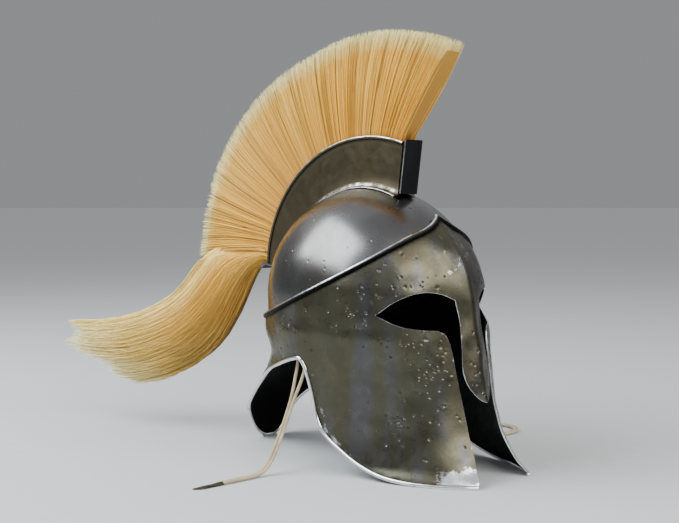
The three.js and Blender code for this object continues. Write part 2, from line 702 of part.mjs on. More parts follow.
function makeStrand(rows, hand) {
  const path = strandPath(rows, hand);
  const length = new THREE.CatmullRomCurve3(path, false, "centripetal").getLength();
  return bar(path, STRAND_RADIUS, STRAND_SIDES, Math.round(length / STRAND_STEP));
}

// The leather strip folded round the strands' ends, lying on the surface.
function makeTieEnd(rows) {
  const [a, b] = [rows[rows.length - 2], rows[rows.length - 1]];
  const ahead = new THREE.Vector2(b.side - a.side, b.front - a.front).normalize();
  const { long, half, thick, edge, lift, widths } = TIE_END;
  return skinned(
    widths.map((wide, i) => {
      const run = FIT + (i / (widths.length - 1)) * long;
      const corner = (side, z) => {
        const out = side * wide * half;
        return place(b.side + ahead.x * run - ahead.y * out, b.front + ahead.y * run + ahead.x * out, z);
      };
      const low = edge * thick;
      return [corner(-1, lift), corner(1, lift), corner(1, low), corner(0, thick), corner(-1, low)];
    }),
  );
}

// A wire loop on the mask's inner face, just above the notch, with both feet soldered.
function makeStaple(turn) {
  const [s, z] = [turn * STAPLE.s, STAPLE.z];
  const base = onMask(s, z, -FIT);
  const into = onMask(s, z, -FIT - 1).sub(base);
  const round = onMask(s + 1, z, -FIT).sub(base).normalize();
  const loop = steps(STAPLE.steps).map((share) => {
    const angle = share * Math.PI;
    return base
      .clone()
      .addScaledVector(round, STAPLE.half * Math.cos(angle))
      .addScaledVector(into, STAPLE.wire + STAPLE.deep * Math.sin(angle));
  });
  return bar(loop, STAPLE.wire);
}

// ---- the assembly ----
const DARK_STEEL = { color: 0x5a5b58, roughness: 0.3, metalness: 1 };
const HAMMERED_STEEL = { color: 0x55534a, roughness: 0.38, metalness: 1 };
const BLACK_STEEL = { color: 0x17171a, roughness: 0.5, metalness: 0.9 };
const HORSEHAIR = { color: 0xd9a860, roughness: 0.7, metalness: 0 };
const TAN_CORD = { color: 0xb7a476, roughness: 0.75, metalness: 0 };
const DARK_LEATHER = { color: 0x14110f, roughness: 0.6, metalness: 0 };

const helmet = new THREE.Group();
helmet.name = "greek_helmet";

function add(name, manifold, look) {
  const mesh = new THREE.Mesh(asGeometry(manifold), new THREE.MeshStandardMaterial(look));
  mesh.name = name;
  helmet.add(mesh);
}

add("skull", makeSkull(), DARK_STEEL);
add("mask", makeMask(), HAMMERED_STEEL);
add("crest_front", makeCrestFront(), BLACK_STEEL);
add("crest_back", makeCrestBack(), BLACK_STEEL);
add("crest_hair", makeCrestHair(), HORSEHAIR);
add("crest_tail", makeCrestTail(), HORSEHAIR);
for (const [hand, turn, rows] of [
  ["right", -1, RIGHT_TIE],
  ["left", 1, LEFT_TIE],
]) {
  add(`crest_side_${hand}`, makeCrestSide(turn), HAMMERED_STEEL);
  add(`tie_staple_${hand}`, makeStaple(turn), BLACK_STEEL);
  add(`tie_strand_${hand}_fore`, makeStrand(rows, 1), TAN_CORD);
  add(`tie_strand_${hand}_aft`, makeStrand(rows, -1), TAN_CORD);
  add(`tie_end_${hand}`, makeTieEnd(rows), DARK_LEATHER);
}

export default helmet;
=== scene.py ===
"""A crested Greek helmet of dark sheet metal with a horsehair crest and tail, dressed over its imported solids.

Lengths inside the classes are millimetres in the helmet's own frame; a Shape turns them into metres when
it becomes a mesh. The mask is drawn as a flat pattern: s runs round the head from the middle of the brow,
110 mm to a radian, and z is the height.
"""

import logging
import math
from dataclasses import dataclass, replace
from enum import Enum
from typing import Callable

import bmesh
import bpy
import numpy as np
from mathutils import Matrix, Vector
from mathutils.geometry import delaunay_2d_cdt


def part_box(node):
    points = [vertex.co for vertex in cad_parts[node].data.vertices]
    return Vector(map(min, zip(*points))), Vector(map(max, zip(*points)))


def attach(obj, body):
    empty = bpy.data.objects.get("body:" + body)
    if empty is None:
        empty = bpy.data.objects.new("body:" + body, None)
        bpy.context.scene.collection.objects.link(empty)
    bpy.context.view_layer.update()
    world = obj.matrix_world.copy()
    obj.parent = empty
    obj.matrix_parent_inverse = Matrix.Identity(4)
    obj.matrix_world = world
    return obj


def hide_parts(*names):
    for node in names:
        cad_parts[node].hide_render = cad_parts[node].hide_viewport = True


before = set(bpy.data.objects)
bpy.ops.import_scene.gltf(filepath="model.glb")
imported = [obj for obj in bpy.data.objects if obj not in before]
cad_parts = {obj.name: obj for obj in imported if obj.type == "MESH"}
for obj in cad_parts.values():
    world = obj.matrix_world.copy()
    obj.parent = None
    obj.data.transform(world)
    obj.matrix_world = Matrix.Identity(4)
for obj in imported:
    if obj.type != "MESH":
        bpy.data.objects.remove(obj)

log = logging.getLogger("helmet")

Array = np.ndarray
Piece = bpy.types.Object
Finish = bpy.types.Material
Tree = bpy.types.NodeTree
Socket = bpy.types.NodeSocket
Colour = tuple[float, float, float]
Place = tuple[float, float, float]
Span = tuple[float, float]
Rows = tuple[tuple[float, ...], ...]

MM = 0.001
TURN = 2 * math.pi
BODY = "root"
SEED = 20


class Hand(Enum):
    """The wearer's right or left, as the sign of X."""

    RIGHT = -1
    LEFT = 1

    @property
    def word(self) -> str:
        """The hand's name in lower case, for a piece's name."""
        return self.name.lower()


class Slot(Enum):
    """The record's material slots."""

    SKULL = "skull_steel"
    HAMMERED = "hammered_steel"
    CREST = "crest_steel"
    BLACK = "black_steel"
    HAIR = "horsehair"
    CORD = "cord"
    LEATHER = "leather"


# ---- curves and tables ----


def hermite(table: Array, x: Array, column: int) -> Array:
    """Reads one column of a table along a smooth curve through its rows.

    Args:
        table: rows whose first column rises.
        x: where to read it.
        column: which column to read.

    Returns:
        The column's values at x, held at the first and last rows beyond them.
    """
    xs, ys = table[:, 0], table[:, column]
    slope = np.empty(len(xs))
    slope[1:-1] = (ys[2:] - ys[:-2]) / (xs[2:] - xs[:-2])
    slope[0] = (ys[1] - ys[0]) / (xs[1] - xs[0])
    slope[-1] = (ys[-1] - ys[-2]) / (xs[-1] - xs[-2])
    x = np.clip(np.asarray(x, float), xs[0], xs[-1])
    i = np.clip(np.searchsorted(xs, x, side="right") - 1, 0, len(xs) - 2)
    h = xs[i + 1] - xs[i]
    t = (x - xs[i]) / h
    t2, t3 = t * t, t * t * t
    return (
        (2 * t3 - 3 * t2 + 1) * ys[i]
        + (t3 - 2 * t2 + t) * h * slope[i]
        + (3 * t2 - 2 * t3) * ys[i + 1]
        + (t3 - t2) * h * slope[i + 1]
    )


def spline(points: Array, count: int, fine: int = 40) -> Array:
    """Evenly spread points on the centripetal Catmull-Rom curve through some points.

    Args:
        points: the points that the curve passes, in any number of dimensions.
        count: how many steps to divide the whole curve in.
        fine: steps between two of the points while measuring.

    Returns:
        count + 1 points.
    """
    p = np.asarray(points, float)
    p = np.vstack([2 * p[0] - p[1], p, 2 * p[-1] - p[-2]])
    dense = []
    for i in range(1, len(p) - 2):
        a, b, c, d = p[i - 1 : i + 3]
        da, db, dc = (max(math.sqrt(np.linalg.norm(v)), 1e-4) for v in (b - a, c - b, d - c))
        ta = ((b - a) / da - (c - a) / (da + db) + (c - b) / db) * db
        tb = ((c - b) / db - (d - b) / (db + dc) + (d - c) / dc) * db
        t = np.linspace(0, 1, fine, endpoint=False)[:, None]
        dense.append(b + ta * t + (-3 * b + 3 * c - 2 * ta - tb) * t**2 + (2 * b - 2 * c + ta + tb) * t**3)
    dense = np.vstack([*dense, p[-2:-1]])
    run = np.concatenate([[0], np.cumsum(np.linalg.norm(np.diff(dense, axis=0), axis=1))])
    even = np.linspace(0, run[-1], count + 1)
    return np.stack([np.interp(even, run, column) for column in dense.T], axis=1)


def unit(v: Array) -> Array:
    """Vectors made one long along their last axis."""
    return v / np.maximum(np.linalg.norm(v, axis=-1, keepdims=True), 1e-12)


def smooth(t: Array) -> Array:
    """A smooth step from 0 to 1."""
    t = np.clip(t, 0, 1)
    return t * t * (3 - 2 * t)


# ---- the form that the metal follows ----


@dataclass
class HeadForm:
    """The helmet's surfaces as formulas: the bowl, the mask's pattern and the profile over the middle."""

    side: float = 102.0
    front: float = 121.0
    rear: float = 122.0
    rise: float = 115.0
    radius: float = 110.0
    wall: float = 1.6
    overlap: float = 12.0
    helmet_y: float = 0.0
    centre: float = 0.0
    # Height, and how far the mask stands out of the bowl's side, front and rear there.
    sections: Rows = (
        *((-40, -6, 74, 43), (0, -6, 74, 43), (15, -9, 58, 48), (40, -11, 40, 50), (60, -10.5, 32, 37)),
        *((80, -9, 26, 19), (100, -6.4, 22, 2), (115, -4, 19, -5), (138, 0.9, 14.5, 0.9), (150, 1, 12, 1)),
        *((175, 0.6, 8.5, 0.6), (205, 0.6, 6, 0.6), (245, 0.6, 2, 0.6), (290, 0.6, 0.6, 0.6)),
    )
    keel_height: float = 7.0
    keel_half: float = 38.0
    keel_fade: Span = (190.0, 265.0)
    keel_left: float = 0.45
    ridge_nape: float = 150.0
    ridge_brow: float = 250.0
    ridge_power: float = 1.6
    ridge_peak: float = 10.0
    ridge_peak_half: float = 40.0

    NEAR = 0.5

    def __post_init__(self) -> None:
        """Takes the bowl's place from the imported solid."""
        _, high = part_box("skull")
        self.helmet_y = high.y / MM - self.rear
        self.centre = high.z / MM - self.rise

    @property
    def half_turn(self) -> float:
        """Half of the way round the head, on the pattern."""
        return math.pi * self.radius

    def place(self, side: Array, front: Array, z: Array) -> Array:
        """Points from helmet coordinates: towards the wearer's left, towards the front, and up."""
        side, front, z = np.broadcast_arrays(*(np.asarray(v, float) for v in (side, front, z)))
        return np.stack([side, self.helmet_y - front, z], axis=-1)

    def shrink(self, z: Array) -> Array:
        """The bowl's half axes at a height, as a share of the full ones."""
        up = np.maximum(0, z - self.centre) / self.rise
        return np.sqrt(np.maximum(0, 1 - up * up))

    def ridge(self, s: Array) -> Array:
        """Height of the mask's top edge.

        Args:
            s: how far round the head.

        Returns:
            The height at each.
        """
        facing = (1 + np.cos(s / self.radius)) / 2
        peak = self.ridge_peak * np.maximum(0, 1 - np.abs(s) / self.ridge_peak_half) ** 2
        return self.ridge_nape + (self.ridge_brow - self.ridge_nape) * facing**self.ridge_power + peak

    def face(self, s: Array, z: Array) -> Array:
        """The mask's inner face at points of the pattern.

        Args:
            s: how far round the head.
            z: height.

        Returns:
            An array of points.
        """
        phi = s / self.radius
        shrink = self.shrink(z)
        ahead = np.cos(phi) >= 0
        sections = np.array(self.sections, float)
        side = self.side * shrink + hermite(sections, z, 1)
        depth = np.where(
            ahead,
            self.front * shrink + hermite(sections, z, 2),
            self.rear * shrink + hermite(sections, z, 3),
        )
        x = side * np.sin(phi)
        low, high = self.keel_fade
        fade = np.clip((z - low) / (high - low), 0, 1)
        height = self.keel_height * (1 + (self.keel_left - 1) * fade)
        keel = np.where(ahead, height * np.maximum(0, 1 - np.abs(x) / self.keel_half) ** 2, 0)
        return self.place(x, depth * np.cos(phi) + keel, z)

    def on_mask(self, s: Array, z: Array, lift: Array | float) -> Array:
        """Points of the pattern wrapped round the head and lifted off the mask's inner face.

        Args:
            s: how far round the head.
            z: height.
            lift: distance outwards, one number or one for each point.

        Returns:
            An array of points.
        """
        s, z = np.broadcast_arrays(np.asarray(s, float), np.asarray(z, float))
        around = self.face(s + self.NEAR, z) - self.face(s - self.NEAR, z)
        up = self.face(s, z + self.NEAR) - self.face(s, z - self.NEAR)
        return self.face(s, z) + unit(np.cross(around, up)) * np.asarray(lift, float)[..., None]

    def on_bowl(self, phi: Array, z: Array, lift: Array | float) -> Array:
        """Points of the skull's outer face, lifted outwards.

        Args:
            phi: the turn round the head.
            z: height.
            lift: distance outwards.

        Returns:
            An array of points.
        """
        shrink = self.shrink(z)
        long = np.where(np.cos(phi) >= 0, self.front, self.rear)
        x, front = self.side * shrink * np.sin(phi), long * shrink * np.cos(phi)
        up = np.maximum(0, z - self.centre) / self.rise**2
        out = unit(np.stack([x / self.side**2, -front / long**2, up + 0 * x], axis=-1))
        return self.place(x, front, z) + out * np.asarray(lift, float)[..., None]

    def profile(self, degrees: Array, lift: Array | float) -> Array:
        """The bowl's profile over the middle, as (back, z): degrees from upright, lifted off the bowl.

        Args:
            degrees: the turn from upright, towards the rear.
            lift: distance off the bowl.

        Returns:
            An array of (back, z).
        """
        degrees = np.asarray(degrees, float)
        long = np.where(degrees < 0, self.front, self.rear)
        sin, cos = np.sin(np.radians(degrees)), np.cos(np.radians(degrees))
        out = unit(np.stack([sin / long, cos / self.rise], axis=-1))
        at = np.stack([long * sin, self.centre + self.rise * cos], axis=-1)
        return at + out * np.asarray(lift, float)[..., None]

    def upright(self, at: Array, x: Array | float) -> Array:
        """Points of the middle plane, (back, z), moved sideways by x."""
        return self.place(np.asarray(x, float) + 0 * at[..., 0], -at[..., 0], at[..., 1])


# ---- meshes ----


class Shape:
    """Points, faces and masks gathered for one mesh, in millimetres."""

    SLIVER = 1e-7

    def __init__(self) -> None:
        """Starts empty."""
        self.points: list[Array] = []
        self.faces: list[tuple[int, ...]] = []
        self.masks: dict[str, list[Array]] = {}
        self.count = 0

    def add(self, points: Array, faces: list[tuple[int, ...]], **masks: Array | float) -> int:
        """Adds points and the faces between them.

        Args:
            points: an array of points.
            faces: tuples of indices into these points.
            masks: named values from 0 to 1, one for all points or one for each.

        Returns:
            The index of the first point added.
        """
        first, n = self.count, len(points)
        for name in masks:
            self.masks.setdefault(name, [np.zeros(first)])
        for name, values in self.masks.items():
            values.append(np.broadcast_to(np.asarray(masks.get(name, 0.0), float), (n,)).copy())
        self.points.append(np.asarray(points, float))
        self.faces += [tuple(first + i for i in f) for f in faces]
        self.count += n
        return first

    def skin(self, rings: Array, loop: bool = False, capped: bool = True, **masks: Array | float) -> None:
        """Skins rings of points into a closed body.

        Args:
            rings: an array of rings, each of the same number of points.
            loop: whether the last ring joins the first.
            capped: whether open ends get a flat face.
            masks: as for add, one value for each ring and point.
        """
        m, n = rings.shape[:2]
        faces: list[tuple[int, ...]] = []
        for i in range(m if loop else m - 1):
            a, b = i * n, ((i + 1) % m) * n
            faces += [(a + j, a + (j + 1) % n, b + (j + 1) % n, b + j) for j in range(n)]
        if capped and not loop:
            faces += [tuple(range(n))[::-1], tuple((m - 1) * n + j for j in range(n))]
        flat = {k: np.broadcast_to(np.asarray(v, float), (m, n)).ravel() for k, v in masks.items()}
        self.add(rings.reshape(-1, 3), faces, **flat)

    def build(self, name: str, sharp: float = 40.0, weld: float = 0.002) -> Piece:
        """Makes the mesh object.

        Args:
            name: the object's name.
            sharp: edges that turn by more degrees than this are shaded sharp.
            weld: points closer than this are merged.

        Returns:
            The object, linked to the scene, at the origin.
        """
        points = np.vstack(self.points) * MM
        mesh = bpy.data.meshes.new(name)
        mesh.from_pydata(points.tolist(), [], self.faces)
        for key, values in self.masks.items():
            layer = mesh.attributes.new(key, "FLOAT", "POINT")
            layer.data.foreach_set("value", np.concatenate(values).astype(np.float32))
        bm = bmesh.new()
        bm.from_mesh(mesh)
        bmesh.ops.remove_doubles(bm, verts=bm.verts, dist=weld * MM)
        bmesh.ops.dissolve_degenerate(bm, edges=bm.edges, dist=self.SLIVER)
        bmesh.ops.recalc_face_normals(bm, faces=bm.faces)
        bm.to_mesh(mesh)
        bm.free()
        mesh.shade_smooth()
        mesh.set_sharp_from_angle(angle=math.radians(sharp))
        piece = bpy.data.objects.new(name, mesh)
        bpy.context.scene.collection.objects.link(piece)
        return piece


FIRST_SIDE = (0.0, 0.3, 1.0)
DOME = 0.94


def tube(path: Array, radius: Array | float, sides: int = 16, twist: float = 0.0) -> Array:
    """Rings round a path, kept from turning.

    Args:
        path: points of the middle line.
        radius: one radius, or an array of one for each point, or of points by sides.
        sides: points in a ring.
        twist: radians that the ring turns for each millimetre of the path.

    Returns:
        An array of rings.
    """
    ahead = unit(np.gradient(path, axis=0))
    across = np.zeros_like(path)
    across[0] = unit(np.cross(ahead[0], FIRST_SIDE))
    for i in range(1, len(path)):
        across[i] = unit(across[i - 1] - ahead[i] * np.dot(across[i - 1], ahead[i]))
    over = np.cross(ahead, across)
    run = np.concatenate([[0], np.cumsum(np.linalg.norm(np.diff(path, axis=0), axis=1))])
    turn = np.arange(sides) / sides * TURN
    size = np.asarray(radius, float)
    size = size.reshape(-1, 1) if size.ndim < 2 else size
    angle = turn[None, :] + (run * twist)[:, None]
    offset = np.cos(angle)[..., None] * across[:, None] + np.sin(angle)[..., None] * over[:, None]
    return path[:, None] + offset * np.broadcast_to(size, angle.shape)[..., None]


def domed(rings: Array, steps: int = 4) -> Array:
    """Adds rounded ends to a tube's rings.

    Args:
        rings: the rings of an open tube.
        steps: rings in each end.

    Returns:
        The longer array of rings.
    """
    ends = []
    for ring, nxt in ((rings[0], rings[1]), (rings[-1], rings[-2])):
        middle = ring.mean(axis=0)
        size = np.linalg.norm(ring - middle, axis=1).mean()
        out = unit(middle - nxt.mean(axis=0))
        turns = [k / steps * math.pi / 2 * DOME for k in range(1, steps + 1)]
        ends.append([middle + (ring - middle) * math.cos(a) + out * size * math.sin(a) for a in turns])
    return np.concatenate([np.array(ends[0][::-1]), rings, np.array(ends[1])])


def dress(piece: Piece, finish: Finish, nodes: tuple[str, ...] = ()) -> None:
    """Gives a piece its finish, its body and the solids that it stands for.

    Args:
        piece: the finished mesh object.
        finish: its material.
        nodes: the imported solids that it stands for.
    """
    piece.data.materials.clear()
    piece.data.materials.append(finish)
    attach(piece, BODY)
    if nodes:
        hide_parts(*nodes)
    log.info("%s: %d faces", piece.name, len(piece.data.polygons))


@dataclass
class Dents:
    """Small pits struck into sheet metal, as places on a flat pattern."""

    at: Array
    radius: Array
    depth: Array

    # Each ring of points round a pit: its distance from the middle, in radii, and how many points.
    RINGS = ((0.0, 1), (0.45, 6), (0.85, 9), (1.3, 10))
    ROUND = 1.4
    LIP = 0.16
    LIP_AT = 1.2
    LIP_HALF = 0.25
    REACH = 1.7

    def points(self, stretch: Array) -> Array:
        """Points of the pattern that a pit needs: its middle and rings round it.

        Args:
            stretch: units of the pattern to a millimetre at each pit.

        Returns:
            An array of points.
        """
        found = []
        for share, count in self.RINGS:
            turn = (np.arange(count) + 0.5 * share) / count * TURN
            ring = np.stack([np.cos(turn), np.sin(turn)], axis=-1) * share
            reach = (self.radius[:, None] * stretch)[:, None]
            found.append((self.at[:, None] + ring[None] * reach).reshape(-1, 2))
        return np.vstack(found)

    def heights(self, at: Array, stretch: Array) -> tuple[Array, Array]:
        """How far the pits lower or raise points, and how deep in a pit each is from 0 to 1.

        Args:
            at: the points.
            stretch: units of the pattern to a millimetre at each pit.

        Returns:
            The heights and the depths.
        """
        height, inside = np.zeros(len(at)), np.zeros(len(at))
        for centre, radius, depth, scale in zip(self.at, self.radius, self.depth, stretch):
            near = np.abs(at[:, 1] - centre[1]) < radius * self.REACH * scale[1]
            near &= np.abs(at[:, 0] - centre[0]) < radius * self.REACH * scale[0]
            d = np.linalg.norm((at[near] - centre) / scale, axis=1) / radius
            bowl = np.where(d < 1, np.cos(np.minimum(d, 1) * math.pi / 2) ** self.ROUND, 0)
            lip = np.exp(-(((d - self.LIP_AT) / self.LIP_HALF) ** 2)) * self.LIP
            height[near] += depth * (lip - bowl)
            inside[near] = np.maximum(inside[near], bowl)
        return height, inside


@dataclass
class DentedSheet:
    """A plate drawn flat as one outline, meshed finely, dented, and wrapped on a surface with its wall."""

    outline: Array
    edges: Array
    grid: float
    wall: float
    bevel: float = 0.35

    JITTER = 0.12
    CLEAR = 1.5
    MARGIN = 0.3
    CALM = 8.0
    FLAT = 1.5
    CLOSE = 1e-5

    def inset(self) -> Array:
        """The outline drawn in by the bevel where it is a cut edge.

        Returns:
            As many points as the outline has.
        """
        before, after = np.roll(self.outline, 1, axis=0), np.roll(self.outline, -1, axis=0)
        run = unit(unit(self.outline - before) + unit(after - self.outline))
        into = np.stack([-run[:, 1], run[:, 0]], axis=-1)
        return self.outline + into * self.bevel * self.edges[:, None]

    def interior(self, dents: Dents, stretch: Array, rng: np.random.Generator) -> Array:
        """Points inside the outline: a triangular grid, thinned round the pits, and the pits' own.

        Args:
            dents: the pits.
            stretch: units of the pattern to a millimetre at each pit.
            rng: shifts the grid a little.

        Returns:
            An array of points.
        """
        low, high = self.outline.min(axis=0), self.outline.max(axis=0)
        rows = np.arange(low[1], high[1], self.grid * math.sqrt(3) / 2)
        columns = np.arange(low[0], high[0], self.grid)
        u = columns[None, :] + (np.arange(len(rows)) % 2)[:, None] * self.grid / 2
        flat = np.stack([u, np.broadcast_to(rows[:, None], u.shape)], axis=-1).reshape(-1, 2)
        flat = flat + rng.uniform(-self.JITTER, self.JITTER, flat.shape) * self.grid
        keep = np.ones(len(flat), bool)
        for centre, radius, scale in zip(dents.at, dents.radius, stretch):
            keep &= np.linalg.norm((flat - centre) / scale, axis=1) > radius * self.CLEAR
        flat = np.vstack([flat[keep], dents.points(stretch)])
        return flat[inside(flat, self.outline) & (distance(flat, self.outline) > self.grid * self.MARGIN)]

    def shape(
        self,
        put: Callable[[Array, Array], Array],
        dents: Dents,
        stretch: Array,
        waves: Callable[[Array], Array],
        masks: Callable[[Array], dict[str, Array]],
    ) -> Shape:
        """Meshes the plate.

        Args:
            put: wraps points of the pattern, lifted by an array, on the surface.
            dents: the pits.
            stretch: how many units of the pattern a millimetre takes at each pit.
            waves: the gentle unevenness of the outer face at points of the pattern.
            masks: named masks at points of the pattern.

        Returns:
            The closed plate; its inner face is marked by a mask, for the shade painted inside.
        """
        rng = np.random.default_rng(SEED)
        rim = self.inset()
        n = len(rim)
        flat = np.vstack([rim, self.interior(dents, stretch, rng)])
        loop = [(i, (i + 1) % n) for i in range(n)]
        corners = [Vector(p) for p in flat]
        points, _, faces, origin, _, _ = delaunay_2d_cdt(corners, loop, [list(range(n))], 1, self.CLOSE)
        at = np.array([flat[o[0]] if o else (p.x, p.y) for p, o in zip(points, origin)])
        index = {i: new for new, o in enumerate(origin) for i in o}
        lower, pit = dents.heights(at, stretch)
        border = distance(at, self.outline)
        uneven = waves(at) * smooth(border / self.CALM)
        lift = self.wall + (uneven + lower * smooth(border / self.FLAT))
        named = masks(at)
        shape = Shape()
        outer = shape.add(put(at, lift), [tuple(f) for f in faces], pit=pit, lining=0, **named)
        inner = shape.add(put(at, np.zeros(len(at))), [tuple(reversed(f)) for f in faces], lining=1)
        edge = masks(self.outline)
        high = shape.add(put(self.outline, np.full(n, self.wall - self.bevel)), [], lining=0, **edge)
        low = shape.add(put(self.outline, np.full(n, self.bevel)), [], lining=0.5, **edge)
        for i in range(n):
            j = (i + 1) % n
            if self.edges[i] and self.edges[j]:
                a, c = index[i], index[j]
                shape.faces += [
                    (outer + a, high + i, high + j, outer + c),
                    (high + i, low + i, low + j, high + j),
                    (low + i, inner + a, inner + c, low + j),
                ]
        return shape


def inside(points: Array, outline: Array) -> Array:
    """Whether points lie inside a closed outline.

    Args:
        points: the points.
        outline: the outline's corners.

    Returns:
        True or false for each point.
    """
    found = np.zeros(len(points), bool)
    a, b = outline, np.roll(outline, -1, axis=0)
    for (ax, ay), (bx, by) in zip(a, b):
        if ay == by:
            continue
        cross = ((ay > points[:, 1]) != (by > points[:, 1])) & (
            points[:, 0] < (bx - ax) * (points[:, 1] - ay) / (by - ay) + ax
        )
        found ^= cross
    return found


def distance(points: Array, outline: Array) -> Array:
    """Distance from points to a polyline's segments, the closing one among them.

    Args:
        points: the points.
        outline: the polyline's corners.

    Returns:
        A distance for each point.
    """
    best = np.full(len(points), np.inf)
    for a, b in zip(outline, np.roll(outline, -1, axis=0)):
        run = b - a
        t = np.clip(((points - a) @ run) / max(run @ run, 1e-12), 0, 1)
        best = np.minimum(best, ((points - a - t[:, None] * run) ** 2).sum(axis=1))
    return np.sqrt(best)


WAVES = 14
WAVE_SIZES = (0.7, 1.8)


def waves(scale: float, height: float, seed: int) -> Callable[[Array], Array]:
    """A smooth random unevenness of a pattern.

    Args:
        scale: the usual length of a wave.
        height: how far it rises and falls.
        seed: fixes the waves.

    Returns:
        A function from points to heights.
    """
    rng = np.random.default_rng(seed)
    turns = rng.uniform(0, TURN, (WAVES, 2))
    sizes = rng.uniform(*WAVE_SIZES, WAVES) * TURN / scale

    def at(points: Array) -> Array:
        """The unevenness at points of the pattern."""
        total = np.zeros(len(points))
        for (turn, phase), size in zip(turns, sizes):
            total += np.sin((points @ [math.cos(turn), math.sin(turn)]) * size + phase)
        return height * total / math.sqrt(len(sizes))

    return at


# ---- node trees ----


class Nodes:
    """Adds nodes to a tree and links them."""

    def __init__(self, tree: Tree) -> None:
        """Works on a tree, which is emptied first."""
        self.tree = tree
        tree.nodes.clear()

    def new(self, kind: str, inputs: dict | None = None, **settings: object) -> bpy.types.Node:
        """Adds a node.

        Args:
            kind: the node's type.
            inputs: values or sockets for its inputs, by name or number.
            settings: the node's own properties.

        Returns:
            The node.
        """
        node = self.tree.nodes.new(kind)
        for name, value in settings.items():
            setattr(node, name, value)
        for key, value in (inputs or {}).items():
            socket = node.inputs[key]
            if isinstance(value, bpy.types.Node):
                value = value.outputs[0]
            if isinstance(value, Socket):
                self.tree.links.new(value, socket)
            else:
                socket.default_value = value
        return node

    def math(self, operation: str, a: object, b: object = 0.0, c: object = 0.0) -> Socket:
        """One step of arithmetic on values."""
        kind = "ShaderNodeMath"
        return self.new(kind, {0: a, 1: b, 2: c}, operation=operation).outputs[0]

    def vector(self, operation: str, a: object, b: object, factor: object = None) -> Socket:
        """One step of arithmetic on vectors."""
        inputs = {0: a, 3: factor} if factor is not None else {0: a, 1: b}
        return self.new("ShaderNodeVectorMath", inputs, operation=operation).outputs[0]

    def span(self, value: object, low: object, high: object, to: Span = (0.0, 1.0)) -> Socket:
        """A value brought from one span to another, and held inside it."""
        inputs = {"Value": value, "From Min": low, "From Max": high, "To Min": to[0], "To Max": to[1]}
        return self.new("ShaderNodeMapRange", inputs).outputs[0]

    def blend(self, factor: object, a: object, b: object) -> Socket:
        """Two colours mixed."""
        a, b = ((*v, 1.0) if isinstance(v, tuple) and len(v) == 3 else v for v in (a, b))
        return self.new("ShaderNodeMix", {0: factor, 6: a, 7: b}, data_type="RGBA").outputs[2]

    def ramp(self, factor: object, stops: list[tuple[float, Colour]]) -> Socket:
        """A row of colours read at a value.

        Args:
            factor: where to read it.
            stops: places and their colours.

        Returns:
            The colour.
        """
        node = self.new("ShaderNodeValToRGB", {0: factor})
        elements = node.color_ramp.elements
        while len(elements) < len(stops):
            elements.new(0.5)
        for element, (at, colour) in zip(elements, stops):
            element.position = at
            element.color = (*colour, 1.0)
        return node.outputs[0]

    def noise(self, vector: object, scale: object, detail: float = 3.0, rough: float = 0.5) -> Socket:
        """Soft noise, from 0 to 1."""
        inputs = {"Vector": vector, "Scale": scale, "Detail": detail, "Roughness": rough}
        return self.new("ShaderNodeTexNoise", inputs).outputs[0]

    def attribute(self, name: str) -> Socket:
        """A mesh's own mask."""
        return self.new("ShaderNodeAttribute", attribute_name=name).outputs["Fac"]

    def group(self, tree: Tree, inputs: dict) -> bpy.types.Node:
        """A shared effect with its own values.

        Args:
            tree: the effect's group.
            inputs: values or sockets by name.

        Returns:
            The group's node.
        """
        node = self.tree.nodes.new("ShaderNodeGroup")
        node.node_tree = tree
        for key, value in inputs.items():
            if isinstance(value, Socket):
                self.tree.links.new(value, node.inputs[key])
            else:
                node.inputs[key].default_value = value
        return node


